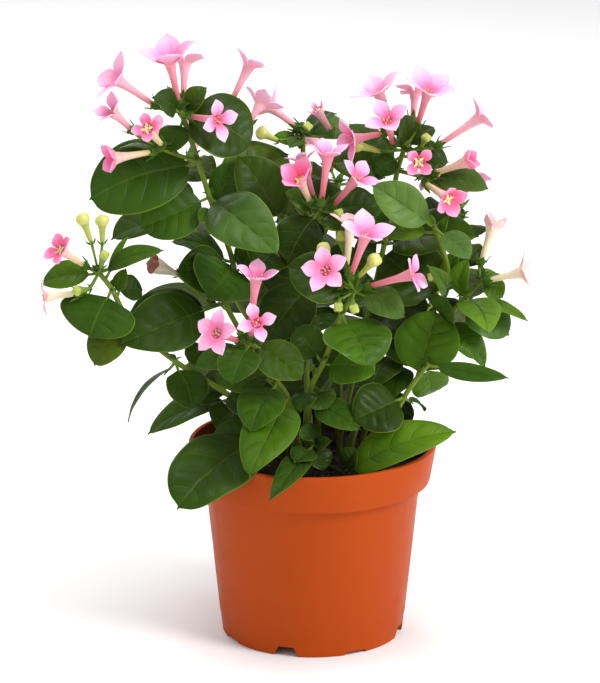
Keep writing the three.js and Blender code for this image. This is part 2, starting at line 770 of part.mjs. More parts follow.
// The pot: a turned wall with its band, foot ring and base plate, less the notches and drain slots
function potSolid() {
  const { wall, rimLip, height } = pot;
  const bandFoot = height - pot.bandHeight;
  const plateTop = pot.plateUnderside + pot.plateThickness;
  const bodyAt = (z) => {
    return pot.bodyFootRadius + ((pot.bodyTopRadius - pot.bodyFootRadius) * z) / bandFoot;
  };
  const outline = [
    [0, pot.plateUnderside],
    [bodyAt(pot.plateUnderside) - rimLip, pot.plateUnderside],
    [bodyAt(0) - rimLip, 0],
    [bodyAt(0), 0],
    [bodyAt(bandFoot), bandFoot],
    [pot.bandFootRadius - 0.6, bandFoot],
    [pot.bandFootRadius, bandFoot + 0.8],
    [pot.rimRadius, height - 1],
    [pot.rimRadius - 0.8, height],
    [pot.rimRadius - rimLip, height],
    [pot.bandFootRadius - wall, bandFoot + 4],
    [bodyAt(bandFoot) - wall, bandFoot - 2],
    [bodyAt(plateTop) - wall, plateTop],
    [0, plateTop],
  ];
  const profile = outline.map(([radius, z]) => new THREE.Vector2(radius, z));
  const turned = new THREE.LatheGeometry(profile, pot.sides).rotateX(Math.PI / 2);
  let solid = solidOf(turned);
  for (const kind of Object.values(notches)) {
    for (const angle of kind.angles) {
      solid = solid.subtract(notchCutter(kind, angle));
      if (kind === notches.large) solid = solid.subtract(slotCutter(angle));
    }
  }
  return solid;
}

// Turned from the front, -Y, to the right seen from there
function turnedFromFront(geometry, angle) {
  return geometry.rotateZ(THREE.MathUtils.degToRad(angle));
}

function notchCutter({ footWidth, topWidth, height }, angle) {
  const below = 1;
  const slope = (footWidth - topWidth) / 2 / height;
  const outline = new THREE.Shape([
    new THREE.Vector2(-footWidth / 2 - slope * below, -below),
    new THREE.Vector2(footWidth / 2 + slope * below, -below),
    new THREE.Vector2(topWidth / 2, height),
    new THREE.Vector2(-topWidth / 2, height),
  ]);
  const cutter = new THREE.ExtrudeGeometry(outline, { depth: 12, bevelEnabled: false });
  cutter.rotateX(Math.PI / 2).translate(0, -pot.bodyFootRadius + 8, 0);
  return solidOf(turnedFromFront(cutter, angle));
}

function slotCutter(angle) {
  const { inner, outer, width } = drainSlot;
  const cutter = new THREE.BoxGeometry(width, outer - inner, 10);
  cutter.translate(0, -(inner + outer) / 2, pot.plateUnderside);
  return solidOf(turnedFromFront(cutter, angle));
}

// The soil: crumbly on top, clear of the pot's wall, with a plain hole for each stem
function soilSolid(shoots) {
  const random = randomFrom(7);
  const plateTop = pot.plateUnderside + pot.plateThickness;
  const bandFoot = pot.height - pot.bandHeight;
  const facets = Math.cos(Math.PI / soil.sectors);
  const wallAt = (z) => {
    const body = pot.bodyFootRadius + ((pot.bodyTopRadius - pot.bodyFootRadius) * z) / bandFoot;
    return body - pot.wall - seatGap * 2;
  };
  const skin = new Skin();
  const centre = (z) => new THREE.Vector3(0, 0, z);
  const ring = (radius, z, rough) => {
    return Array.from({ length: soil.sectors }, (_, i) => {
      const angle = (i * 2 * Math.PI) / soil.sectors;
      const lift = rough * (random() - 0.5) * 2;
      return new THREE.Vector3(radius * Math.cos(angle), radius * Math.sin(angle), z + lift);
    });
  };
  const foot = ring(wallAt(plateTop) * facets, plateTop + seatGap, 0);
  const shoulder = ring(wallAt(bandFoot - 3), bandFoot - 3, 0);
  const edge = ring(wallAt(bandFoot - 3) + 1, soil.top - 1, 0.4);
  const rings = [...soil.rings].reverse().map((radius) => ring(radius, soil.top, soil.roughness));
  skin.fan(foot.slice().reverse(), centre(plateTop + seatGap));
  [shoulder, edge, ...rings].reduce((lower, upper) => {
    skin.band(lower, upper);
    return upper;
  }, foot);
  skin.fan(rings.at(-1), centre(soil.top));
  let solid = skin.solid();
  for (const shoot of shoots) {
    const base = seen(shoot.stem[0]);
    const radius = (stem.radius + seatGap) / Math.cos(Math.PI / 6);
    const hole = new THREE.CylinderGeometry(radius, radius, (soil.holeDepth + seatGap) * 2, 6);
    hole.rotateX(Math.PI / 2).translate(base.x, base.y, soil.top);
    solid = solid.subtract(solidOf(hole));
  }
  return solid;
}

const looks = {
  pot: { color: 0x9a4a35, roughness: 0.45, metalness: 0 },
  soil: { color: 0x2c221c, roughness: 0.95, metalness: 0 },
  green: { color: 0x3c5a2a, roughness: 0.4, metalness: 0 },
  pink: { color: 0xf2b9c6, roughness: 0.6, metalness: 0 },
};

function pieceOf(name, solid, look) {
  const mesh = new THREE.Mesh(geometryOf(solid), new THREE.MeshStandardMaterial(looks[look]));
  mesh.name = name;
  return mesh;
}

const plant = new THREE.Group();
plant.add(pieceOf("pot", potSolid(), "pot"));
plant.add(pieceOf("soil", soilSolid(Object.values(shoots)), "soil"));
Object.entries(shoots).forEach(([name, shoot], index) => {
  plant.add(pieceOf(`shoot_${name}`, shootSolid(shoot, 31 + index), "green"));
  shoot.blooms.forEach((bloom, i) => {
    plant.add(pieceOf(`bloom_${name}_${i + 1}`, corollaSolid(bloom), "pink"));
  });
});
plant.position.set(-plantCentre.x, -plantCentre.y, 0);

export default plant;
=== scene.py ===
import logging
import math
import random
from collections.abc import Callable, Sequence
from dataclasses import dataclass, replace
from enum import Enum

import bmesh
import bpy
from bmesh.types import BMesh, BMFace
from bpy.types import Material, NodeSocket
from mathutils import Matrix, Vector, noise


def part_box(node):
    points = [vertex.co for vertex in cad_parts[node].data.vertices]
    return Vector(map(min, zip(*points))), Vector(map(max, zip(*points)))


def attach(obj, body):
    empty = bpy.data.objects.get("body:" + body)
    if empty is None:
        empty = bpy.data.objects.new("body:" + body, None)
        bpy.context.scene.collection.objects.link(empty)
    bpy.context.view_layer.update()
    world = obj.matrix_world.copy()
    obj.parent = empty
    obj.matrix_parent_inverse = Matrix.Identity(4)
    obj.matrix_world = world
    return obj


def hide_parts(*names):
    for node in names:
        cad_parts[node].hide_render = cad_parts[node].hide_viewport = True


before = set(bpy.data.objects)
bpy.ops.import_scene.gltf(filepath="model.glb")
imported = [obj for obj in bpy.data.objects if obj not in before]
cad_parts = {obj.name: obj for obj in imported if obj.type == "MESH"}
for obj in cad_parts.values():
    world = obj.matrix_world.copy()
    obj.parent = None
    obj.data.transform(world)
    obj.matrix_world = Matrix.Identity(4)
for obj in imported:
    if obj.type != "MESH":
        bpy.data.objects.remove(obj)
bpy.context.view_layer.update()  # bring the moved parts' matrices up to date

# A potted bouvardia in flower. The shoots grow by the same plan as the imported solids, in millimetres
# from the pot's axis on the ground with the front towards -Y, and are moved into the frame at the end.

BODY = "root"
MILLIMETRE = 0.001
SOIL_TOP = 83.0
SHADED_BELOW = SOIL_TOP + 15  # low leaves and forks stand in the shade of the rest
TOUCHING = 0.004  # vertices as close as this are one
FULL_TURN = 2 * math.pi
ABOUT_A_TURN = 6.28
FIRST_SEED = 31  # of the first shoot; the rest count on from it
FIRST_NORMAL = Vector((0.31, -0.9, 0.3))  # where a swept section starts, along no stem
FLUTES = 4  # on a bud, one to each folded lobe
UP = Vector((0, 0, 1))
log = logging.getLogger("bouvardia")

Row = tuple[float, ...]


@dataclass(frozen=True)
class Eye:
    """Where the plan is seen from: beside the pot's axis, in front of it and above the ground."""

    x: float = -6.0
    distance: float = 1525.0
    height: float = 579.0

    def seen(self, point: Sequence[float]) -> Vector:
        """Put a point of the plan in space.

        Args:
            point: across and up on the upright plane through the pot's axis, and the depth behind it.

        Returns:
            The point on that line of sight, at that depth.
        """
        across, height, depth = point
        spread = (self.distance + depth) / self.distance
        x = self.x + (across - self.x) * spread
        z = self.height + (height - self.height) * spread
        return Vector((x, depth, z))

    def direction_from(self, point: Vector) -> Vector:
        """The unit vector from a point to the eye."""
        return (Vector((self.x, -self.distance, self.height)) - point).normalized()


EYE = Eye()


class LeafTone(Enum):
    """The greens of the leaves, in linear colour."""

    DARK = (0.026, 0.058, 0.003)
    DEEP = (0.034, 0.077, 0.003)
    MID = (0.04, 0.095, 0.005)
    FRESH = (0.056, 0.128, 0.004)
    BRIGHT = (0.088, 0.195, 0.006)
    # PALE is a light green with the sheen of a glossy leaf painted into it.
    PALE = (0.105, 0.185, 0.035)
    GREY = (0.06, 0.122, 0.016)
    OLIVE = (0.075, 0.122, 0.008)


@dataclass(frozen=True)
class ShootPlan:
    """One shoot as it is seen from the front.

    A stem is its points from the soil up, and a fork is the point that it leaves and its own end, which
    continues the numbering. A leaf is the point it grows from, its tip, width and face: 90 where the
    upper side looks at the eye, 0 where it looks up, below zero away. A bloom is its point, the foot of
    its tube, its throat, lobes, opening angle, turn and width across. A bud is its point, foot, head and
    form.
    """

    stem: tuple[Row, ...]
    forks: tuple[Row, ...] = ()
    leaves: tuple[Row, ...] = ()
    blooms: tuple[Row, ...] = ()
    buds: tuple[tuple, ...] = ()


PLAN: dict[str, ShootPlan] = {
    "upper_left": ShootPlan(
        stem=(
            (-10, 91, 6), (-23, 143, 12), (-36, 166, 10), (-38, 184, 12), (-49, 216, 4), (-54, 233, 2),
            (-62, 257, 0),
        ),
        forks=((5, -71, 239, -8), (2, -48, 162, 0)),
        leaves=(
            (5, -106, 215, -4, 36, 75), (6, -29, 241, -2, 37, 54), (4, -17, 189, -42, 29, 75),
            (4, -82, 201, -4, 27, 70), (3, -67, 195, 14, 15, 40), (4, -11, 237, 32, 32, 84),
            (4, -54, 204, -12, 8, 70), (6, -75, 264, -17, 14, 60), (6, -50, 269, 2, 14, 45),
            (7, -93, 239, -4, 13, 8), (6, -67, 238, -8, 16, 65), (6, -68, 270, 16, 9, 40),
            (3, -50, 167, -24, 34, 87), (8, -92, 144, -24, 31, 70), (8, -88, 160, 6, 20, 60),
            (3, -65, 180, -10, 25, 72), (3, -27, 191, 2, 16, 60), (4, -36, 235, 12, 16, 70),
        ),
        blooms=(
            (6, -74, 260, -3, -91, 272, -9, 4, 65, 20, 30), (6, -63, 261, 0, -67, 281, -7, 4, 50, 0, 33),
            (6, -61, 263, 8, -60, 280, 14, 4, 60, 40, 26), (7, -85, 248, -11, -94, 257, -16, 4, 50, 30, 22),
            (7, -71, 241, -12, -78, 249, -28, 4, 70, 20, 16),
            (7, -75, 238, -12, -93, 235, -20, 4, 40, 50, 20),
            (6, -58, 255, -4, -45, 253, -20, 4, 80, 10, 22),
        ),
        buds=((8, -64, 178, 4, -78, 184, -2, "WITHERED"),),
    ),
    "back_top": ShootPlan(
        stem=((3, 94, 22), (0, 151, 34), (-3, 205, 38), (-5, 246, 34)),
        forks=((2, -21, 230, 34), (4, -37, 253, 24)),
        leaves=(
            (3, 18, 250, 68, 19, 50), (3, 11, 257, 50, 13, 30), (3, -19, 245, 30, 8, 60),
            (3, -11, 240, 8, 9, 50), (3, -9, 244, 31, 12, 20), (2, 15, 219, 46, 26, 60),
            (4, -32, 217, 36, 24, 60),
        ),
        blooms=(
            (5, -39, 261, 22, -30, 279, 26, 4, 55, 20, 24), (5, -31, 251, 8, -25, 260, 13, 4, 52, 40, 25),
            (3, -7, 249, 32, -19, 259, 37, 4, 58, 20, 26), (3, 9, 247, 34, 2, 258, 30, 4, 35, 10, 13),
        ),
        buds=((3, -16, 243, 24, -26, 248, 18, "CREAM"), (3, -4, 247, 28, -2, 251, 24, "BUD")),
    ),
    "centre": ShootPlan(
        stem=((0, 90, -2), (-3, 130, 4), (0, 175, 8), (3, 210, 0)),
        forks=((2, -14, 203, 6),),
        leaves=(
            (4, -35, 236, 6, 26, 70), (4, -2, 234, 34, 24, 38), (3, -12, 184, -12, 24, 70),
            (3, 33, 211, 8, 20, 60), (3, -13, 219, -2, 10, 60), (2, -24, 145, -12, 27, 75),
            (2, 26, 184, 2, 26, 65), (4, -26, 181, -8, 26, 60), (3, 15, 199, -14, 12, 55),
            (1, 15, 143, 6, 24, 65), (1, -24, 140, 4, 24, 65), (2, -24, 179, 12, 24, 60),
            (2, 33, 169, 16, 22, 60), (2, 4, 150, 2, 22, 65), (1, 12, 117, 4, 20, 60),
        ),
        blooms=(
            (3, -1, 213, -4, -6, 224, -12, 4, 35, 45, 25), (3, 4, 213, -9, 7, 236, -11, 4, 55, 20, 24),
            (3, 9, 211, -2, 21, 225, -10, 4, 60, 30, 24), (3, 1, 213, 6, -5, 234, 8, 4, 55, 0, 18),
        ),
        buds=((3, 10, 208, -6, 13, 208, -16, "BUD"),),
    ),
    "upper_right": ShootPlan(
        stem=((13, 95, 14), (24, 147, 22), (34, 193, 26), (40, 229, 20), (43, 239, 14)),
        forks=((3, 54, 225, 8),),
        leaves=(
            (4, 42, 255, -1, 15, 40), (4, 57, 250, 20, 15, 40), (4, 64, 233, 20, 16, 60),
            (4, 29, 228, 12, 15, 65), (3, 8, 233, 16, 21, 60), (5, 83, 220, 0, 17, 50),
            (5, 65, 218, 6, 9, 20), (2, 23, 218, 8, 20, 60), (3, 17, 252, 40, 16, 50),
            (2, 78, 198, 0, 28, 48), (2, 19, 190, 30, 24, 60), (1, 56, 163, 8, 32, 48),
        ),
        blooms=(
            (4, 39, 248, 18, 31, 266, 14, 4, 60, 10, 29), (4, 38, 241, 7, 35, 253, -7, 4, 60, 35, 24),
            (4, 34, 247, 8, 19, 244, 0, 4, 65, 20, 24), (4, 49, 250, 14, 54, 267, 6, 5, 60, 0, 30),
            (4, 47, 253, 20, 48, 266, 26, 4, 80, 30, 24), (4, 59, 241, 14, 78, 254, 14, 4, 60, 20, 26),
            (4, 47, 237, 8, 50, 233, -14, 4, 70, 45, 16), (5, 57, 227, 6, 72, 233, 0, 4, 20, 30, 18),
            (5, 53, 223, 4, 64, 215, -14, 4, 50, 20, 20),
        ),
        buds=((4, 51, 240, 8, 54, 246, 4, "BUD"), (4, 32, 238, 12, 18, 242, 4, "CREAM")),
    ),
    "centre_front": ShootPlan(
        stem=((-4, 89, -14), (-1, 121, -18), (5, 134, -20), (14, 158, -26), (20, 170, -26)),
        forks=((0, 0, 92, -30), (0, 14, 79, -28)),
        leaves=(
            (4, -12, 182, -28, 25, 70), (4, 44, 157, -32, 16, 65), (3, 27, 133, -50, 34, 60),
            (2, 30, 129, -36, 22, 65), (2, -8, 152, -18, 18, 70), (1, 7, 111, -26, 16, 60),
            (1, -6, 110, -32, 13, 60), (5, -3, 104, -26, 12, 60), (5, -9, 84, -50, 13, 60),
            (5, 7, 81, -28, 13, 60), (5, 9, 95, -36, 8, 60), (5, -21, 65, -78, 13, 70),
            (6, 69, 100, -32, 26, 48), (6, 21, 91, -30, 12, 60), (1, 23, 101, -34, 16, 62),
        ),
        blooms=(
            (4, 14, 173, -30, 6, 180, -50, 5, 82, 18, 24), (4, 18, 177, -37, 25, 197, -45, 4, 60, 20, 30),
            (4, 16, 181, -26, 18, 202, -24, 4, 60, 10, 24), (4, 26, 172, -28, 47, 178, -34, 4, 75, 40, 24),
        ),
        buds=(
            (4, 10, 179, -28, 4, 193, -34, "CREAM"), (4, 22, 177, -30, 31, 187, -38, "CREAM"),
            (4, 13, 166, -32, 12, 161, -44, "BUD"), (4, 19, 166, -34, 20, 160, -46, "BUD"),
            (4, 16, 184, -16, 13, 199, -22, "BUD"),
        ),
    ),
    "lower_left": ShootPlan(
        stem=((-8, 90, -18), (-12, 117, -24), (-17, 125, -26), (-27, 140, -34), (-30, 145, -36)),
        forks=((0, -24, 98, -22),),
        leaves=(
            (4, -39, 124, -54, 21, 65), (4, -5, 126, -48, 22, 60), (3, -57, 133, -36, 14, 60),
            (2, -48, 128, -18, 18, 70), (2, -30, 99, -52, 23, 70), (1, -31, 78, -70, 27, 65),
            (5, -66, 62, -62, 40, 52), (5, -48, 99, -15, 13, 67), (1, -43, 115, -14, 20, 65),
        ),
        blooms=(
            (4, -30, 152, -34, -27, 176, -40, 4, 55, 0, 24), (4, -35, 145, -38, -46, 149, -52, 5, 82, 0, 24),
            (4, -30, 148, -38, -27, 154, -60, 4, 80, 15, 20),
        ),
    ),
    "left": ShootPlan(
        stem=(
            (-14, 93, 0), (-39, 117, -2), (-66, 135, -8), (-88, 155, -12), (-96, 171, -12), (-102, 179, -14),
        ),
        leaves=(
            (5, -130, 174, -10, 15, 60), (4, -107, 147, -24, 39, 70), (4, -81, 171, -4, 14, 60),
            (3, -105, 133, -20, 20, 65), (4, -89, 181, -10, 9, 50), (5, -71, 190, -23, 10, 60),
            (5, -88, 197, -8, 5, 40), (2, -58, 111, -22, 21, 70), (2, -90, 105, -6, 12, 8),
            (1, -56, 124, 8, 22, 60), (1, -80, 99, 2, 17, 45), (2, -50, 142, 0, 14, 60),
            (1, -47, 102, -14, 18, 65),
        ),
        blooms=(
            (5, -108, 182, -16, -120, 190, -24, 4, 70, 45, 19),
            (5, -111, 169, -16, -128, 167, -20, 4, 100, 20, 18),
        ),
        buds=(
            (5, -105, 193, -14, -110, 208, -16, "CREAM"), (5, -100, 193, -12, -100, 207, -14, "CREAM"),
            (5, -101, 181, -18, -99, 189, -26, "BUD"), (5, -106, 171, -18, -114, 170, -26, "BUD"),
        ),
    ),
    "right": ShootPlan(
        stem=((24, 96, 12), (44, 136, 10), (65, 158, 4), (73, 167, 2), (80, 175, 0)),
        leaves=(
            (3, 84, 150, -41, 20, 60), (3, 103, 156, -8, 13, 25), (3, 94, 148, -4, 22, 60),
            (4, 91, 167, -4, 12, 60), (2, 78, 136, -6, 16, 65), (2, 83, 132, 6, 12, 60),
            (4, 88, 179, 10, 10, 45), (3, 74, 186, -2, 11, 60), (1, 36, 115, -14, 18, 65),
            (2, 64, 166, -4, 20, 48), (3, 64, 167, 8, 12, 48),
        ),
        blooms=((4, 80, 184, 2, 85, 200, 2, 4, 22, 30, 22), (4, 83, 175, -4, 99, 179, -8, 4, 58, 10, 23)),
    ),
    "right_rosette": ShootPlan(
        stem=((19, 94, -4), (38, 140, 12), (64, 170, 6), (58, 201, -14)),
        leaves=(
            (3, 28, 222, -14, 20, 75), (3, 75, 186, -26, 14, 60), (3, 30, 198, -6, 13, 50),
            (2, 68, 190, 13, 10, 60), (2, 56, 182, -36, 10, 60), (2, 34, 188, 24, 36, 75),
            (3, 54, 208, -12, 5, 50), (3, 64, 207, -14, 5, 50), (1, 59, 148, 28, 26, 48),
            (1, 29, 123, -12, 22, 65),
        ),
        buds=((2, 60, 174, -16, 56, 178, -20, "BUD"),),
    ),
    "right_low": ShootPlan(
        stem=((34, 92, -10), (44, 117, -14), (55, 133, -16)),
        leaves=(
            (2, 94, 127, -28, 9, 80), (2, 57, 118, -2, 19, 78), (1, 20, 106, -32, 27, 75),
            (1, 54, 110, -4, 8, 5), (2, 34, 154, 34, 24, 82), (2, 62, 137, -4, 6, 30),
            (2, 59, 160, 2, 32, 75),
        ),
    ),
    "back_left": ShootPlan(
        stem=((-6, 92, 14), (-24, 130, 34), (-44, 168, 52), (-58, 205, 62), (-64, 228, 66)),
        leaves=(
            (1, -62, 118, 70, 30, -40), (1, -2, 112, 26, 28, -50), (2, -84, 160, 70, 30, -35),
            (2, -14, 158, 80, 28, -45), (3, -96, 196, 66, 28, -30), (3, -33, 196, 93, 28, -38),
            (3, -81, 219, 98, 30, -74), (4, -90, 224, 74, 22, -30), (4, -46, 226, 90, 22, -40),
            (4, -52, 236, 48, 16, -20),
        ),
        blooms=(
            (4, -66, 234, 70, -74, 246, 84, 4, 75, 0, 24), (4, -58, 236, 74, -52, 248, 90, 4, 75, 20, 24),
        ),
    ),
    "back_middle": ShootPlan(
        stem=((12, 99, 30), (13, 128, 48), (12, 166, 68), (12, 200, 78), (12, 222, 80)),
        leaves=(
            (1, 36, 109, 70, 30, -62), (1, -20, 122, 81, 22, -26), (2, 44, 156, 88, 30, -33),
            (2, -22, 150, 118, 28, -38), (2, 14, 140, 108, 30, -60), (3, 44, 200, 70, 28, -35),
            (3, -18, 204, 84, 26, -40), (3, 12, 184, 116, 28, -60), (4, 34, 226, 84, 20, -30),
            (4, -8, 228, 88, 20, -30),
        ),
        blooms=((4, 8, 230, 84, 0, 244, 96, 4, 75, 10, 24), (4, 16, 230, 84, 26, 243, 94, 4, 70, 30, 24)),
    ),
    "back_right": ShootPlan(
        stem=((16, 92, 20), (36, 126, 36), (54, 158, 52), (66, 188, 60), (70, 204, 62)),
        leaves=(
            (1, 39, 97, 30, 28, -40), (1, 26, 108, 64, 26, -50), (2, 84, 148, 84, 30, -35),
            (2, 38, 146, 80, 28, -50), (3, 81, 184, 62, 24, -30), (3, 50, 184, 81, 28, -50),
            (3, 76, 166, 90, 28, -50), (4, 78, 197, 74, 16, -30), (4, 52, 210, 80, 20, -30),
        ),
        blooms=((4, 70, 212, 66, 74, 225, 78, 4, 75, 0, 24), (4, 66, 212, 68, 58, 225, 82, 4, 70, 20, 24)),
    ),
    "back_low": ShootPlan(
        stem=((-8, 100, 32), (-8, 120, 44), (-8, 142, 56)),
        leaves=(
            (1, -44, 126, 68, 26, -50), (1, 19, 128, 28, 20, -26), (2, -36, 132, 92, 26, -38),
            (2, 24, 130, 96, 26, -50), (1, 6, 100, 38, 24, -50),
        ),
    ),
}


class Chance:
    """The same run of random numbers that shapes the solids' leaves."""

    FACTOR, STEP, RANGE = 1664525, 1013904223, 4294967296

    def __init__(self, seed: int) -> None:
        """Start the run from a seed."""
        self.state = seed

    def draw(self) -> float:
        """The next number, from 0 to 1."""
        self.state = (self.state * self.FACTOR + self.STEP) % self.RANGE
        return self.state / self.RANGE


def eased(value: float, low: float, high: float) -> float:
    """Rise smoothly from 0 at low to 1 at high."""
    share = min(1.0, max(0.0, (value - low) / (high - low)))
    return share * share * (3 - 2 * share)


def squared(vector: Vector, axis: Vector) -> Vector:
    """The part of a vector square to an axis, one unit long."""
    return (vector - axis * vector.dot(axis)).normalized()


def polar(radius: float, angle: float, height: float = 0.0) -> Vector:
    """The point at a radius, an angle round the upright axis and a height."""
    return Vector((radius * math.cos(angle), radius * math.sin(angle), height))


def shaped(
    columns: int, rows: int, place: Callable[[float, float], Vector], closed: bool = False,
) -> BMesh:
    """Make a grid and move each of its vertices to its place.

    Args:
        columns: faces across the grid.
        rows: faces along it.
        place: gives the point for a share across and a share along, each from 0 to 1.
        closed: whether the places make a closed form, whose faces are turned outwards.

    Returns:
        A bmesh with the shares as its UV map, its doubles merged.
    """
    sheet = bmesh.new()
    shares = sheet.loops.layers.uv.new("UVMap")
    bmesh.ops.create_grid(sheet, x_segments=columns, y_segments=rows, size=0.5)
    for face in sheet.faces:
        for loop in face.loops:
            loop[shares].uv = (loop.vert.co.x + 0.5, loop.vert.co.y + 0.5)
    for vert in sheet.verts:
        vert.co = place(vert.co.x + 0.5, vert.co.y + 0.5)
    bmesh.ops.remove_doubles(sheet, verts=sheet.verts, dist=TOUCHING)
    if closed:
        bmesh.ops.recalc_face_normals(sheet, faces=sheet.faces)
    return sheet


def thicken(sheet: BMesh, thickness: float, under: int = 1) -> None:
    """Give a sheet a lower side and an edge, evenly thick also where its tip is sharp.

    Args:
        sheet: the open sheet.
        thickness: how far the lower side lies under the upper.
        under: the material of the lower side and the edge.
    """
    shares = sheet.loops.layers.uv.verify()
    sheet.normal_update()
    upper = sheet.faces[:]
    rim = [edge.link_loops[0] for edge in sheet.edges if edge.is_boundary]
    copied = bmesh.ops.duplicate(sheet, geom=sheet.verts[:] + sheet.edges[:] + upper)
    below = copied["vert_map"]
    lower = [part for part in copied["geom"] if isinstance(part, BMFace)]
    for vert in {vert for face in upper for vert in face.verts}:
        below[vert].co = vert.co - vert.normal * thickness
    bmesh.ops.reverse_faces(sheet, faces=lower)
    for loop in rim:
        after = loop.link_loop_next
        near, far = loop.vert, after.vert
        edge = sheet.faces.new((far, near, below[near], below[far]))
        for corner, source in zip(edge.loops, (after, loop, loop, after)):
            corner[shares].uv = source[shares].uv
        lower.append(edge)
    for face in lower:
        face.material_index = under


def swept(path: Sequence[Vector], radii: Row, sides: int, ripple: float = 0.0) -> BMesh:
    """Sweep a round section along a path, closed at both ends.

    Args:
        path: the centre points.
        radii: the radius at each of them.
        sides: corners of the section.
        ripple: how far the flutes stand out, as a share of the radius.

    Returns:
        The closed tube.
    """
    ends = [(path[max(i - 1, 0)], path[min(i + 1, len(path) - 1)]) for i in range(len(path))]
    tangents = [(after - before).normalized() for before, after in ends]
    normals = [squared(FIRST_NORMAL, tangents[0])]
    for tangent in tangents[1:]:
        normals.append(squared(normals[-1], tangent))
    last = len(path) + 1

    def place(across: float, along: float) -> Vector:
        """The point at a share round the section and a share of the way.

        Args:
            across: the share across, from 0 to 1.
            along: the share along, from 0 to 1.

        Returns:
            The point.
        """
        station = round(along * last)
        i = min(max(station - 1, 0), len(path) - 1)
        angle = across * FULL_TURN
        radius = radii[i] if 0 < station < last else 0.0
        on_ring = polar(radius * (1 + ripple * math.cos(FLUTES * angle)), angle)
        return path[i] + normals[i] * on_ring.x + tangents[i].cross(normals[i]) * on_ring.y

    return shaped(sides, last, place, closed=True)


class Growth:
    """A piece as it grows: parts in millimetres are added with their material and tint."""

    def __init__(self) -> None:
        """Start with an empty mesh."""
        self.mesh = bmesh.new()
        self.mesh.loops.layers.uv.new("UVMap")
        self.mesh.verts.layers.float_color.new("tint")

    def add(self, part: BMesh, material: int, tint: Row = (1, 1, 1), place: Matrix | None = None) -> None:
        """Add a part and free it.

        Args:
            part: the part; its own material numbers count on from the one given.
            material: the number of its first material in the piece.
            tint: its linear colour.
            place: brings the part to its place, where it isn't there yet.
        """
        if place is not None:
            bmesh.ops.transform(part, matrix=place, verts=part.verts)
        tints = part.verts.layers.float_color
        layer = tints.get("tint") or tints.new("tint")
        for vert in part.verts:
            vert[layer] = (*tint, 1.0)
        for face in part.faces:
            face.material_index += material
            face.smooth = True
        carrier = data_of("carrier", part)
        self.mesh.from_mesh(carrier)
        bpy.data.meshes.remove(carrier)


def data_of(name: str, mesh: BMesh) -> bpy.types.Mesh:
    """Turn a bmesh into mesh data and free it.

    Args:
        name: its name.
        mesh: the bmesh.

    Returns:
        The data.
    """
    data = bpy.data.meshes.new(name)
    mesh.to_mesh(data)
    mesh.free()
    return data


def stood(name: str, data: bpy.types.ID) -> bpy.types.Object:
    """Put some data into the scene as an object.

    Args:
        name: its name.
        data: its data.

    Returns:
        The object.
    """
    made = bpy.data.objects.new(name, data)
    bpy.context.scene.collection.objects.link(made)
    return made


# The axis on the ground that the plan is measured from
POT_LOW, POT_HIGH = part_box("pot")
POT_AXIS = Vector(((POT_LOW.x + POT_HIGH.x) / 2, (POT_LOW.y + POT_HIGH.y) / 2, POT_LOW.z))


def finish_piece(
    mesh: BMesh, name: str, node: str, materials: Sequence[Material], crease: float = 40.0,
) -> None:
    """Turn a mesh in millimetres round the pot's axis into a piece of the scene.

    Args:
        mesh: the finished mesh, which is freed.
        name: the piece's name.
        node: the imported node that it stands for.
        materials: the piece's materials, in the order of its faces' numbers.
        crease: the angle in degrees above which an edge stays sharp.
    """
    place = Matrix.Translation(POT_AXIS) @ Matrix.Scale(MILLIMETRE, 4)
    bmesh.ops.transform(mesh, matrix=place, verts=mesh.verts)
    data = data_of(name, mesh)
    data.set_sharp_from_angle(angle=math.radians(crease))
    for material in materials:
        data.materials.append(material)
    piece = stood(name, data)
    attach(piece, BODY)
    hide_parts(node)
    log.info("%s: %d faces", name, len(data.polygons))


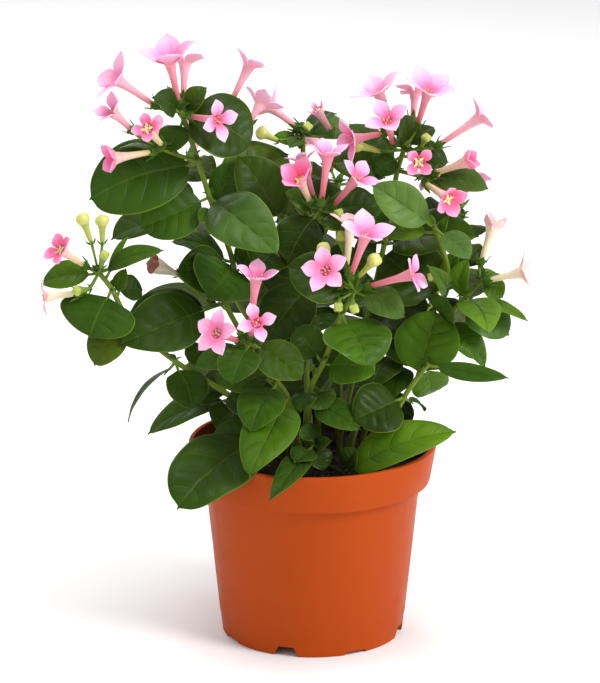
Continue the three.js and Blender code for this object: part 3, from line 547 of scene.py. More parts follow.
class Sketch:
    """A material's nodes, with short ways to add to them."""

    def __init__(self, name: str) -> None:
        """Start a material with its shader and output.

        Args:
            name: its name.
        """
        self.material = bpy.data.materials.new(name)
        self.material.use_nodes = True
        self.tree = self.material.node_tree
        self.tree.nodes.clear()
        output = self.tree.nodes.new("ShaderNodeOutputMaterial")
        self.shader = self.tree.nodes.new("ShaderNodeBsdfPrincipled")
        self.tree.links.new(self.shader.outputs["BSDF"], output.inputs["Surface"])

    def node(self, kind: str, values: dict[str | int, object], **settings: object) -> bpy.types.Node:
        """Add a node.

        Args:
            kind: the node's type without its common first part.
            values: what goes into its sockets: another socket, or a constant.
            **settings: the node's own settings.

        Returns:
            The node.
        """
        node = self.tree.nodes.new("ShaderNode" + kind)
        for name, value in settings.items():
            setattr(node, name, value)
        self.feed(node, values)
        return node

    def feed(self, node: bpy.types.Node, values: dict[str | int, object]) -> None:
        """Link or set a node's sockets; a colour of three parts gets its fourth.

        Args:
            node: the node.
            values: what goes into its sockets: another socket, or a constant.
        """
        for name, value in values.items():
            socket = node.inputs[name]
            if isinstance(value, NodeSocket):
                self.tree.links.new(value, socket)
            elif socket.type == "RGBA":
                socket.default_value = (*value, 1.0)
            else:
                socket.default_value = value

    def math(self, operation: str, *numbers: object) -> NodeSocket:
        """A number worked out from others."""
        return self.node("Math", dict(enumerate(numbers)), operation=operation).outputs[0]

    def times(self, first: object, second: object) -> NodeSocket:
        """The product of two numbers."""
        return self.math("MULTIPLY", first, second)

    def off_middle(self, share: object) -> NodeSocket:
        """How far a share from 0 to 1 is from the middle."""
        return self.math("ABSOLUTE", self.math("SUBTRACT", share, 0.5))

    def ease(
        self, value: object, low: float, high: float, start: float = 0.0, end: float = 1.0,
    ) -> NodeSocket:
        """A number that goes smoothly from start, at low, to end, at high."""
        sockets = {"Value": value, "From Min": low, "From Max": high, "To Min": start, "To Max": end}
        return self.node("MapRange", sockets, interpolation_type="SMOOTHSTEP").outputs["Result"]

    def mix(self, factor: object, first: object, second: object, blend: str = "MIX") -> NodeSocket:
        """A colour between two others."""
        sockets = {0: factor, 6: first, 7: second}
        return self.node("Mix", sockets, data_type="RGBA", blend_type=blend).outputs[2]

    def noise(self, coordinates: object, scale: float, detail: float = 2.0) -> NodeSocket:
        """Soft noise from 0 to 1."""
        sockets = {"Vector": coordinates, "Scale": scale, "Detail": detail}
        return self.node("TexNoise", sockets).outputs["Fac"]

    def place(self) -> NodeSocket:
        """The place on the piece."""
        return self.node("TexCoord", {}).outputs["Object"]

    def height(self) -> NodeSocket:
        """The height above the floor, in metres."""
        return self.node("SeparateXYZ", {0: self.place()}).outputs[2]

    def shares(self) -> tuple[NodeSocket, NodeSocket]:
        """The shares across and along the part that a point lies on."""
        split = self.node("SeparateXYZ", {0: self.node("UVMap", {}, uv_map="UVMap").outputs["UV"]})
        return split.outputs[0], split.outputs[1]

    def tint(self) -> NodeSocket:
        """The part's own colour."""
        return self.node("Attribute", {}, attribute_name="tint").outputs["Color"]

    def bump(self, height: object, distance: float, strength: float, **under: NodeSocket) -> NodeSocket:
        """A normal for fine relief, over another where Normal is given; a strength below zero sinks it."""
        sockets = {"Height": height, "Distance": distance, "Strength": abs(strength), **under}
        return self.node("Bump", sockets, invert=strength < 0).outputs["Normal"]


VEINS = 5  # pairs of side veins in a leaf


@dataclass(frozen=True)
class Finish:
    """A material of its own name; each kind says what its shader's sockets are given."""

    name: str

    def sockets(self, sketch: Sketch) -> dict[str, object]:
        """What the shader's sockets are given.

        Args:
            sketch: the material's nodes.

        Returns:
            A link or a constant for each socket.
        """
        raise NotImplementedError

    def material(self) -> Material:
        """Build the material.

        Returns:
            The material.
        """
        sketch = Sketch(self.name)
        sketch.feed(sketch.shader, self.sockets(sketch))
        return sketch.material


@dataclass(frozen=True)
class LeafFinish(Finish):
    """The glossy upper side of a leaf: impressed arching veins, a pale midrib and a thin pale margin."""

    vein: Row = (0.12, 0.2, 0.02)
    margin: Row = (0.16, 0.25, 0.02)
    roughness: float = 0.39
    specular: float = 0.12

    def sockets(self, sketch: Sketch) -> dict[str, object]:
        """The leaf's own tint, darker in patches, under its veins and margin.

        Args:
            sketch: the material's nodes.

        Returns:
            A link or a constant for each socket.
        """
        across, along = sketch.shares()
        side = sketch.math("ABSOLUTE", sketch.math("MULTIPLY_ADD", across, 2.0, -1.0))
        turn = sketch.math("FRACT", sketch.math("MULTIPLY_ADD", along, float(VEINS), 0.5))
        fading = sketch.ease(side, 0.55, 0.95, 1.0, 0.0)
        side_vein = sketch.times(sketch.ease(sketch.off_middle(turn), 0.0, 0.07, 1.0, 0.0), fading)
        midrib = sketch.ease(side, 0.01, 0.055, 1.0, 0.0)
        margin = sketch.ease(side, 0.955, 0.99)
        place = sketch.place()
        darker = sketch.ease(sketch.noise(place, 45.0, 3.0), 0.3, 0.7, 0.0, 0.9)
        colour = sketch.mix(darker, sketch.tint(), (0.6, 0.66, 0.55), "MULTIPLY")
        for line, strength, paint in (
            (side_vein, 0.13, self.vein), (midrib, 0.28, self.vein), (margin, 0.6, self.margin),
        ):
            colour = sketch.mix(sketch.times(line, strength), colour, paint)
        cells = sketch.node("TexVoronoi", {"Vector": place, "Scale": 620.0}, feature="DISTANCE_TO_EDGE")
        net = sketch.bump(cells.outputs["Distance"], 0.00025, 0.3)
        veins = sketch.bump(sketch.math("MAXIMUM", side_vein, midrib), 0.0004, -0.6, Normal=net)
        low, high = self.roughness - 0.06, self.roughness + 0.1
        return {
            "Base Color": colour, "Roughness": sketch.ease(sketch.noise(place, 130.0), 0.3, 0.75, low, high),
            "Normal": veins, "Specular IOR Level": self.specular,
        }


@dataclass(frozen=True)
class UndersideFinish(Finish):
    """The matt, paler underside of a leaf, with its veins standing out."""

    pale: Row = (0.1, 0.15, 0.035)

    def sockets(self, sketch: Sketch) -> dict[str, object]:
        """A paler form of the leaf's own tint, palest on the veins.

        Args:
            sketch: the material's nodes.

        Returns:
            A link or a constant for each socket.
        """
        across, along = sketch.shares()
        midrib = sketch.ease(sketch.off_middle(across), 0.01, 0.04, 1.0, 0.0)
        wave = sketch.math("ABSOLUTE", sketch.math("SINE", sketch.times(along, VEINS * math.pi)))
        veins = sketch.math("MAXIMUM", midrib, sketch.ease(wave, 0.0, 0.3, 1.0, 0.0))
        base = sketch.mix(0.35, sketch.tint(), self.pale)
        return {
            "Base Color": sketch.mix(sketch.times(veins, 0.35), base, self.pale), "Roughness": 0.62,
            "Normal": sketch.bump(veins, 0.0005, 0.5), "Specular IOR Level": 0.15,
        }


@dataclass(frozen=True)
class StemFinish(Finish):
    """Green stems, petioles, calyces and stalks, tinted by part and darker low down: woody brown with
    painted shade.
    """

    brown_and_shade_from: float = 0.085
    green_from: float = 0.125

    def sockets(self, sketch: Sketch) -> dict[str, object]:
        """The part's own tint, mottled, and darkened where it stands low: woody brown with painted shade.

        Args:
            sketch: the material's nodes.

        Returns:
            A link or a constant for each socket.
        """
        place = sketch.place()
        patches = sketch.ease(sketch.noise(place, 160.0, 3.0), 0.35, 0.7)
        mottled = sketch.mix(patches, sketch.tint(), (0.72, 0.78, 0.5), "MULTIPLY")
        # Low down the colour darkens: partly the woody brown of old stems, partly painted shade near the
        # soil.
        woody_and_shaded = sketch.ease(sketch.height(), self.brown_and_shade_from, self.green_from, 1.0, 0.0)
        return {
            "Base Color": sketch.mix(woody_and_shaded, mottled, (0.42, 0.3, 0.3), "MULTIPLY"), "Roughness": 0.5,
            "Normal": sketch.bump(sketch.noise(place, 900.0), 0.0002, 0.35), "Specular IOR Level": 0.2,
        }


@dataclass(frozen=True)
class BudFinish(Finish):
    """The cream skin of the buds, tinted by bud."""

    def sockets(self, sketch: Sketch) -> dict[str, object]:
        """The bud's own tint in soft patches.

        Args:
            sketch: the material's nodes.

        Returns:
            A link or a constant for each socket.
        """
        place = sketch.place()
        patches = sketch.ease(sketch.noise(place, 300.0, 3.0), 0.3, 0.7, 0.0, 0.5)
        return {
            "Base Color": sketch.mix(patches, sketch.tint(), (0.7, 0.75, 0.5), "MULTIPLY"), "Roughness": 0.5,
            "Normal": sketch.bump(sketch.noise(place, 900.0), 0.0002, 0.3), "Subsurface Weight": 0.2,
            "Subsurface Radius": (1.0, 0.8, 0.3), "Subsurface Scale": 0.001,
        }


@dataclass(frozen=True)
class AntherFinish(Finish):
    """The cream anthers, browned in spots."""

    def sockets(self, sketch: Sketch) -> dict[str, object]:
        """Cream with brown spots."""
        spots = sketch.ease(sketch.noise(sketch.place(), 1100.0), 0.4, 0.65)
        return {"Base Color": sketch.mix(spots, (0.86, 0.76, 0.42), (0.56, 0.36, 0.17)), "Roughness": 0.7}


@dataclass(frozen=True)
class PetalFinish(Finish):
    """A corolla's colours: its tube, its throat and the middle and edge of its lobes, in linear colour."""

    tube: Row
    tube_top: Row
    throat: Row
    middle: Row
    edge: Row
    inside: bool = False

    def side(self, inside: bool) -> Material:
        """The material of the inner side, with the deep throat, or of the outer one."""
        name = f"{self.name}_{'inside' if inside else 'outside'}"
        return replace(self, name=name, inside=inside).material()

    def sockets(self, sketch: Sketch) -> dict[str, object]:
        """The colours along the tube and the lobe, with a pale rim and fine streaks.

        Args:
            sketch: the material's nodes.

        Returns:
            A link or a constant for each socket.
        """
        across, along = sketch.shares()
        wander = sketch.math("SUBTRACT", sketch.noise(sketch.place(), 350.0), 0.5)
        share = sketch.math("ADD", along, sketch.times(wander, 0.06))
        foot = self.tube_top if self.inside else self.tube
        throat = self.throat if self.inside else self.tube_top
        ramp = self.ramp(sketch, share, (
            (0.0, foot), (0.3, self.tube_top), (0.39, throat), (0.47, throat), (0.62, self.middle),
            (0.85, self.edge),
        ))
        rim = sketch.times(sketch.ease(sketch.off_middle(across), 0.3, 0.5), sketch.ease(along, 0.55, 0.72))
        pale = sketch.mix(sketch.times(rim, 0.6), ramp, self.edge)
        fine = {0: sketch.times(across, 26.0), 1: sketch.times(along, 2.5)}
        streaks = sketch.noise(sketch.node("CombineXYZ", fine).outputs[0], 1.0)
        return {
            "Base Color": sketch.mix(sketch.ease(streaks, 0.45, 0.7, 0.0, 0.3), pale, throat),
            "Roughness": 0.55, "Normal": sketch.bump(streaks, 0.0003, 0.35), "Specular IOR Level": 0.25,
            "Subsurface Weight": 0.25, "Subsurface Radius": (1.0, 0.45, 0.4), "Subsurface Scale": 0.0012,
        }

    def ramp(self, sketch: Sketch, share: object, stops: Sequence[tuple[float, Row]]) -> NodeSocket:
        """A colour that runs through stops.

        Args:
            sketch: the material's nodes.
            share: the number that runs through them.
            stops: each stop's number and colour.

        Returns:
            The colour.
        """
        node = sketch.node("ValToRGB", {"Fac": share})
        elements = node.color_ramp.elements
        while len(elements) < len(stops):
            elements.new(0.5)
        for element, (at, colour) in zip(elements, stops):
            element.position = at
            element.color = (*colour, 1.0)
        return node.outputs["Color"]


class BloomLook(Enum):
    """How far a bloom has opened and faded."""

    OPEN = PetalFinish(
        "petal_open", (0.6, 0.13, 0.15), (0.84, 0.3, 0.38), (0.88, 0.2, 0.42), (0.93, 0.38, 0.62),
        (0.95, 0.53, 0.75))
    PALE = PetalFinish(
        "petal_pale", (0.74, 0.27, 0.29), (0.9, 0.44, 0.53), (0.9, 0.3, 0.52), (0.93, 0.47, 0.66),
        (0.95, 0.58, 0.76))
    YOUNG = PetalFinish(
        "petal_young", (0.62, 0.54, 0.2), (0.86, 0.56, 0.48), (0.85, 0.14, 0.28), (0.92, 0.16, 0.36),
        (0.94, 0.34, 0.55))
    FADED = PetalFinish(
        "petal_faded", (0.72, 0.66, 0.34), (0.92, 0.74, 0.56), (0.92, 0.55, 0.5), (0.92, 0.48, 0.5),
        (0.91, 0.53, 0.56))


@dataclass(frozen=True)
class LeafShape:
    """A kind of leaf outline: where it is widest, how blunt its base and tip are, and its small point."""

    widest: float
    base: float
    tip: float
    point: float = 0.065
    point_from: float = 0.8
    point_length: float = 0.07
    blade_end: float = 0.972

    def half_width(self, along: float) -> float:
        """The half width at a share along the blade, next to the widest.

        Args:
            along: the share along, from 0 to 1.

        Returns:
            The half width, with 1 as the widest.
        """
        share = min(1.0, max(0.0, along / self.blade_end))
        arch = max(0.0, math.sin(math.pi * share ** (math.log(0.5) / math.log(self.widest))))
        point = self.point * (1 - along) / self.point_length if along > self.point_from else 0.0
        return max(arch ** (self.base + (self.tip - self.base) * along), min(point, self.point))


OVATE = LeafShape(widest=0.47, base=0.64, tip=0.6)
ROUND = LeafShape(widest=0.48, base=0.45, tip=0.48)
BLUNT = LeafShape(widest=0.5, base=0.52, tip=0.42, point=0.05)

# The materials of a shoot's green piece by number, where 1 is the underside of the leaves
LEAF, STEM, CREAM = 0, 2, 3
# The materials of a corolla by number
OUTSIDE, INSIDE, ANTHER = 0, 1, 2
STALK_TINT = (0.14, 0.24, 0.02)
SHADED_TINT = (0.05, 0.09, 0.012)
STEM_TINT = (0.15, 0.225, 0.02)
CALYX_TINT = (0.065, 0.15, 0.008)


@dataclass(frozen=True)
class Leaf:
    """A leaf of the plan, and how its blade is waved and veined.

    Bow and fold are each the least that there is and how much there may be more, next to the length and
    to the half width. Wave, ripples and twist are each a least and a most.
    """

    point: int
    across: float
    height: float
    depth: float
    width: float
    face: float
    tone: LeafTone
    blunt: bool
    thickness: float = 0.4
    petiole: float = 4.5
    petiole_share: float = 0.2
    petiole_radii: Row = (0.85, 0.75, 0.6, 0.3)
    bow: Row = (0.05, 0.07)
    fold: Row = (0.12, 0.14)
    sway: float = 0.08
    wave: Row = (0.012, 0.03)
    ripples: Row = (1.3, 2.4)
    twist: Row = (-0.25, 0.25)
    drip: float = 0.04
    brightness: Row = (0.82, 1.2)
    warmth: Row = (0.92, 1.1)
    vein_sweep: float = 0.24
    quilting: float = 0.025
    midrib_depth: float = 0.35
    midrib_half: float = 0.8
    edge_roll: float = 0.1
    round_from: float = 0.72
    large_from: float = 30.0

    def shape(self, length: float) -> LeafShape:
        """The outline that a leaf of this length has.

        Args:
            length: how long the leaf is.

        Returns:
            The outline.
        """
        if self.blunt:
            return BLUNT
        return ROUND if self.width > self.round_from * length else OVATE

    def axes(self, root: Vector) -> tuple[Vector, Vector, float]:
        """Lay the leaf out from its root.

        Args:
            root: where the leaf stands on its stem.

        Returns:
            The way to its tip, the way that its upper side faces, and its length.
        """
        tip = EYE.seen((self.across, self.height, self.depth))
        along = (tip - root).normalized()
        to_eye = squared(EYE.direction_from(tip), along)
        level = along.cross(to_eye)
        if level.z < 0:
            level.negate()
        tilt = math.radians(self.face)
        top = (to_eye * math.sin(tilt) + level * math.cos(tilt)).normalized()
        return along, top, (tip - root).length

    def grow(self, root: Vector, chance: Chance, whim: random.Random, growth: Growth) -> None:
        """Grow the blade and its petiole.

        Args:
            root: where the leaf stands on its stem.
            chance: the numbers that shape the solid's leaf.
            whim: the numbers for what only shows here.
            growth: the piece it is added to.
        """
        along, top, length = self.axes(root)
        side = top.cross(along)
        bow = length * (self.bow[0] + self.bow[1] * chance.draw())
        fold = self.fold[0] + self.fold[1] * chance.draw()
        sway = (chance.draw() - 0.5) * self.sway * length
        petiole = min(self.petiole, length * self.petiole_share)
        shape = self.shape(length)
        wave = self.width * whim.uniform(*self.wave)
        ripples = whim.uniform(*self.ripples)
        shift = whim.uniform(0, ABOUT_A_TURN)
        twist = whim.uniform(*self.twist)
        drip = whim.uniform(0.0, self.drip) * length

        def place(right: float, share: float) -> Vector:
            """The point of the blade at a share across and a share along the veins.

            Args:
                right: the share across, from 0 to 1.
                share: the share along, from 0 to 1.

            Returns:
                The point.
            """
            out = 1 - 2 * right
            edge = abs(out)
            arch = 4 * share * (1 - share)
            at = share + self.vein_sweep * edge ** 1.4 * arch
            half = self.width / 2 * shape.half_width(at)
            bent = 4 * at * (1 - at)
            furrow = abs(math.sin(math.pi * VEINS * share)) ** 0.8
            quilted = self.quilting * self.width * furrow
            rise = quilted * eased(edge, 0.0, 0.15) * eased(1 - edge, 0.0, 0.45) * arch
            rise -= self.midrib_depth * math.exp(-((edge * half / self.midrib_half) ** 2)) * arch
            rise += fold * half * edge ** 1.5 - self.edge_roll * half * edge ** 7
            phase = ripples * ABOUT_A_TURN * at + shift + (1.7 if out > 0 else 0.0)
            rise += wave * edge ** 2 * math.sin(phase)
            rise += twist * out * half * (at - 0.4) - drip * max(0.0, (at - 0.72) / 0.28) ** 2
            middle = root + along * (petiole + (length - petiole) * at) + top * (bow * bent + rise)
            return middle + side * (out * half + sway * bent)

        large = length > self.large_from
        blade = shaped(14 if large else 8, 5 * VEINS if large else 3 * VEINS, place)
        thicken(blade, self.thickness)
        brightness = whim.uniform(*self.brightness)
        warmth = whim.uniform(*self.warmth)
        red, green, blue = self.tone.value
        growth.add(blade, LEAF, (red * brightness * warmth, green * brightness, blue * brightness))
        foot = root + along * (petiole + 1.5) + top * (bow * 0.1 - 0.3)
        stations = [root, root.lerp(foot, 0.5) - top * 0.3, foot, foot + along * 3]
        tint = STALK_TINT if root.z > SHADED_BELOW else SHADED_TINT
        growth.add(swept(stations, self.petiole_radii, 7), STEM, tint)


@dataclass(frozen=True)
class Spike:
    """A flower's axis, from its foot to its throat."""

    foot: Vector
    throat: Vector

    @property
    def length(self) -> float:
        """From the foot to the throat."""
        return (self.throat - self.foot).length

    @property
    def axis(self) -> Vector:
        """The way from the foot to the throat, one unit long."""
        return (self.throat - self.foot).normalized()

    def matrix(self) -> Matrix:
        """The place and turn that brings a flower grown upwards at the origin here.

        Returns:
            The matrix.
        """
        axis = self.axis
        first = squared(UP if abs(axis.z) < 0.8 else Vector((0, -1, 0)), axis)
        turned = Matrix((first, axis.cross(first), axis)).transposed().to_4x4()
        return Matrix.Translation(self.foot) @ turned


@dataclass(frozen=True)
class Corolla:
    """The tube and lobes of one bloom, with its anthers, grown upwards from its foot.

    A lobe leans as far as the opening says, give or take the lean spread, and at its foot by the share
    foot_lean of that. Angles are in degrees.
    """

    spike: Spike
    lobes: int
    opening: float
    turn: float
    width: float
    look: BloomLook
    start: float = 2.3
    foot_radius: float = 1.15
    waist_radius: float = 1.7
    throat_radius: float = 3.0
    waist_at: float = 0.62
    throat_depth: float = 2.2
    throat_colour_at: float = 0.42
    lean_spread: float = 7.0
    foot_lean: float = 0.55
    recurve: float = 22.0
    twist: float = 0.16
    cup: Row = (0.1, 0.24)
    half: float = 0.44
    young_half: float = 0.56
    anther_radii: Row = (0.25, 0.42, 0.42, 0.2)
    style_radii: Row = (0.3, 0.32, 0.22)
    seam: float = 0.01
    thickness: float = 0.42
    lobe_rows: int = 14
    tube_rows: int = 9
    columns: int = 10

    def radius_at(self, height: float) -> float:
        """The tube's radius at a height: slim, then flaring to the throat.

        Args:
            height: the height above its foot.

        Returns:
            The radius in millimetres.
        """
        share = height / self.spike.length
        if share < self.waist_at:
            return self.foot_radius + (self.waist_radius - self.foot_radius) * share / self.waist_at
        flare = (share - self.waist_at) / (1 - self.waist_at)
        return self.waist_radius + (self.throat_radius - self.waist_radius) * flare ** 1.35

    def spine(self, lean: float, recurve: float) -> tuple[list[Vector], list[float]]:
        """The middle line of a lobe, from the throat to its tip.

        Args:
            lean: how far it leans outwards, in radians.
            recurve: how much further it leans at its tip.

        Returns:
            Each station's place, with its radius as x, and the lean there.
        """
        step = (self.width / 2 - self.throat_radius) / self.lobe_rows
        start = lean * self.foot_lean
        places = [Vector((self.throat_radius, 0, self.spike.length))]
        leans = []
        for i in range(self.lobe_rows):
            at = (i + 0.5) / self.lobe_rows
            leans.append(start + (lean - start) * eased(at, 0.0, 0.2) + recurve * at * at)
            places.append(places[-1] + Vector((math.sin(leans[-1]), 0, math.cos(leans[-1]))) * step)
        return places, [*leans, leans[-1]]

    def half_width(self, at: float) -> float:
        """A lobe's half width at a share along it: a young lobe is rounder.

        Args:
            at: the share along the lobe.

        Returns:
            The half width in millimetres.
        """
        reach = self.width / 2 - self.throat_radius
        if self.look is BloomLook.YOUNG:
            rounded = math.sin(math.pi * (0.13 + 0.87 * at) ** 0.95) ** (0.5 + 0.3 * at)
            half = reach * self.young_half * rounded
        else:
            half = reach * self.half * math.sin(math.pi * (0.2 + 0.8 * at) ** 1.1)
        return min(half, (self.throat_radius + reach * at) * math.tan(math.pi / self.lobes))

    def sector(self, number: int, whim: random.Random) -> BMesh:
        """Shape one lobe and its share of the tube.

        Args:
            number: which lobe it is.
            whim: varies the lobe.

        Returns:
            The open sheet, its faces towards the tube's outside and the lobe's underside.
        """
        height = self.spike.length
        span = FULL_TURN / self.lobes
        direction = math.radians(self.turn) + span * number
        lean = math.radians(self.opening + whim.uniform(-self.lean_spread, self.lean_spread))
        recurve = math.radians(whim.uniform(0, self.recurve))
        twist = whim.uniform(-self.twist, self.twist)
        cup = whim.uniform(*self.cup)
        spine, leans = self.spine(lean, recurve)
        outward = polar(1, direction)
        around = Vector((-outward.y, outward.x, 0))
        tube_share = self.tube_rows / (self.tube_rows + self.lobe_rows)

        def place(right: float, share: float) -> Vector:
            """The point at a share across the sector and a share up the tube and along the lobe.

            Args:
                right: the share across, from 0 to 1.
                share: the share along, from 0 to 1.

            Returns:
                The point.
            """
            out = 2 * right - 1
            turned = direction + out * span / 2
            if share <= tube_share:
                level = self.start + (height - self.start) * (share / tube_share)
                return polar(self.radius_at(level), turned, level)
            i = round((share - tube_share) / (1 - tube_share) * self.lobe_rows)
            at = i / self.lobe_rows
            half = self.half_width(at)
            inside = UP * math.sin(leans[i]) - outward * math.cos(leans[i])
            lift = cup * half * abs(out) ** 1.6 - 0.25 * math.exp(-((out * 4) ** 2)) * (1 - at)
            lift += twist * out * half * at
            on_lobe = outward * spine[i].x + UP * spine[i].z + around * (out * half) + inside * lift
            ring = polar(1, turned) * self.throat_radius + UP * height
            ring += outward * (spine[i].x - self.throat_radius) + UP * (spine[i].z - height)
            return ring.lerp(on_lobe, eased(at, 0.0, 0.11))

        return shaped(self.columns, self.tube_rows + self.lobe_rows, place)

    def build(self, growth: Growth, whim: random.Random) -> None:
        """Grow the whole corolla into its piece.

        Args:
            growth: the bloom's own piece.
            whim: varies its lobes.
        """
        skin = Growth()
        for number in range(self.lobes):
            skin.add(self.sector(number, whim), OUTSIDE)
        bmesh.ops.remove_doubles(skin.mesh, verts=skin.mesh.verts, dist=self.seam)
        thicken(skin.mesh, self.thickness)
        place = self.spike.matrix()
        growth.add(skin.mesh, OUTSIDE, place=place)
        growth.add(self.floor(), INSIDE, place=place)
        if self.look is BloomLook.YOUNG:
            growth.add(self.star(), ANTHER, place=place)
        for part in self.anthers(whim):
            growth.add(part, ANTHER, place=place)

    def floor(self) -> BMesh:
        """The closed floor of the throat, in the throat's own colour.

        Returns:
            The closed floor.
        """
        low = self.spike.length - self.throat_depth
        radius = self.radius_at(low) - 0.05
        part = swept([UP * (low + rise) for rise in (-0.5, 0.0, 0.25)], (radius, radius, radius * 0.5), 16)
        shares = part.loops.layers.uv.verify()
        for face in part.faces:
            for loop in face.loops:
                loop[shares].uv.y = self.throat_colour_at
        return part

    def star(self) -> BMesh:
        """The pale star in the mouth of a young bloom, a point to each lobe.

        Returns:
            The closed star.
        """
        height = self.spike.length

        def place(across: float, along: float) -> Vector:
            """The point of the star at a share round it and a share from its underside to its top.

            Args:
                across: the share across, from 0 to 1.
                along: the share along, from 0 to 1.

            Returns:
                The point.
            """
            angle = across * FULL_TURN
            ray = math.cos((angle - math.radians(self.turn)) * self.lobes / 2) ** 2
            radius = (1.1 + 2.0 * ray ** 1.5) * min(1.0, along * 2 if along < 0.5 else 2 - 2 * along)
            rise = 0.5 * (0.9 - along) if along >= 0.5 else -0.2
            return polar(radius, angle, height + rise + 0.12 * radius)

        return shaped(self.lobes * 8, 4, place, closed=True)

    def anthers(self, whim: random.Random) -> list[BMesh]:
        """The anthers between the lobes and the forked style in the middle.

        Args:
            whim: varies them.

        Returns:
            The parts, each closed.
        """
        height = self.spike.length
        parts = []
        for i in range(self.lobes):
            outward = polar(1, math.radians(self.turn) + FULL_TURN * (i + 0.5) / self.lobes)
            low = outward * 1.7 + UP * (height - 1.6)
            high = outward * whim.uniform(1.5, 2.1) + UP * (height + whim.uniform(0.5, 1.1))
            stations = [low.lerp(high, share) for share in (0.0, 0.3, 0.65, 1.0)]
            parts.append(swept(stations, self.anther_radii, 6))
        split = UP * (height - 0.4)
        for lean in (-0.5, 0.5):
            tip = split + Vector((lean, lean * 0.4, 1.3))
            parts.append(swept([UP * (height - 2.5), split, tip], self.style_radii, 6))
        return parts


@dataclass(frozen=True)
class Calyx:
    """A flower stalk with its calyx, a cup with four narrow pointed teeth."""

    spike: Spike
    depth: float = 2.6
    stalk_radii: Row = (0.75, 0.6, 0.7, 1.2)
    cup_heights: Row = (-2.2, -1.4, -0.4, 0.6, 1.6)
    cup_radii: Row = (0.8, 1.5, 2.0, 2.15, 2.2)
    tooth_foot: Row = (2.05, 0.9)
    tooth_half: float = 1.25
    tooth_height: float = 4.6
    tooth_spread: float = 3.1
    tooth_thickness: float = 0.35

    def grow(self, root: Vector, growth: Growth, whim: random.Random) -> None:
        """Grow the stalk, the cup and its teeth.

        Args:
            root: where the stalk stands.
            growth: the shoot it is added to.
            whim: varies the teeth.
        """
        low = self.spike.foot - self.spike.axis * self.depth
        stalk = [root, root.lerp(low, 0.5) + UP * -0.4, low, self.spike.foot]
        growth.add(swept(stalk, self.stalk_radii, 8), STEM, STALK_TINT)
        place = self.spike.matrix()
        cup = swept([UP * height for height in self.cup_heights], self.cup_radii, 12)
        growth.add(cup, STEM, CALYX_TINT, place)
        for i in range(4):
            outward = polar(1, i * FULL_TURN / 4 + whim.uniform(-0.12, 0.12))
            spread = self.tooth_spread * whim.uniform(0.95, 1.25)
            tall = self.tooth_height * whim.uniform(0.85, 1.2)
            growth.add(self.tooth(outward, spread, tall), STEM, CALYX_TINT, place)

    def tooth(self, outward: Vector, spread: float, tall: float) -> BMesh:
        """Shape one tooth.

        Args:
            outward: the way it stands from the axis.
            spread: how far its tip stands from the axis.
            tall: how high its tip is.

        Returns:
            The closed tooth, all of one material.
        """
        around = Vector((-outward.y, outward.x, 0))
        foot_radius, foot_height = self.tooth_foot

        def place(right: float, share: float) -> Vector:
            """The point at a share across the tooth and a share up it.

            Args:
                right: the share across, from 0 to 1.
                share: the share along, from 0 to 1.

            Returns:
                The point.
            """
            out = 1 - 2 * right
            half = self.tooth_half * (1 - share) ** 0.8 * (0.75 + 0.6 * share)
            radius = foot_radius + (spread - foot_radius) * share ** 1.5
            radius += 0.25 * abs(out) * half * (1 - share)
            height = foot_height + (tall - foot_height) * share
            return outward * radius + around * (out * half) + UP * height

        part = shaped(4, 5, place)
        thicken(part, self.tooth_thickness, under=0)
        return part


@dataclass(frozen=True)
class Tuft:
    """A tuft of small lance-shaped leaflets: how many, and about how long they are."""

    count: int
    size: float
    thickness: float = 0.3

    def grow(self, root: Vector, growth: Growth, whim: random.Random) -> None:
        """Grow the leaflets round a point.

        Args:
            root: where the tuft stands.
            growth: the shoot it is added to.
            whim: varies the leaflets.
        """
        start = whim.uniform(0, FULL_TURN)
        for i in range(self.count):
            angle = start + FULL_TURN * (i + whim.uniform(-0.3, 0.3)) / self.count
            out = polar(1, angle, whim.uniform(-0.1, 1.1)).normalized()
            side = UP.cross(out).normalized()
            top = out.cross(side)
            length = self.size * whim.uniform(0.6, 1.25)
            width = length * whim.uniform(0.17, 0.3)

            def place(right: float, share: float) -> Vector:
                """The point at a share across the leaflet and a share along it.

                Args:
                    right: the share across, from 0 to 1.
                    share: the share along, from 0 to 1.

                Returns:
                    The point.
                """
                across = 1 - 2 * right
                half = width * math.sin(math.pi * share ** 0.8) ** 0.8
                lift = 0.35 * abs(across) * half + 0.5 * length * share * (1 - share)
                return root + out * (length * share) + side * (across * half) + top * lift

            blade = shaped(4, 8, place)
            thicken(blade, self.thickness)
            growth.add(blade, LEAF, LeafTone.MID.value)


@dataclass(frozen=True)
class BudProfile:
    """A bud's outline from foot to head: heights as shares of its length, and radii in millimetres."""

    heights: Row
    radii: Row
    flutes: float
    head: Row
    neck: Row
    waist: int = 4


class BudForm(Enum):
    """The unopened and the spent flowers."""

    BUD = BudProfile(
        (0.0, 0.15, 0.4, 0.6, 0.78, 0.92, 1.0), (0.7, 1.0, 1.2, 1.9, 2.35, 2.1, 1.1),
        0.16, (0.42, 0.5, 0.09), (0.2, 0.3, 0.05))
    CREAM = BudProfile(
        (0.0, 0.25, 0.5, 0.62, 0.7, 0.79, 0.87, 0.94, 0.985, 1.01),
        (0.9, 1.3, 1.6, 2.0, 2.7, 3.2, 3.25, 2.8, 1.9, 0.7),
        0.08, (0.66, 0.66, 0.2), (0.5, 0.56, 0.12))
    WITHERED = BudProfile(
        (0.0, 0.2, 0.42, 0.62, 0.8, 0.9, 0.98, 1.0), (1.1, 1.5, 2.3, 3.3, 3.7, 3.9, 3.0, 1.4),
        0.26, (0.24, 0.06, 0.035), (0.7, 0.58, 0.48))


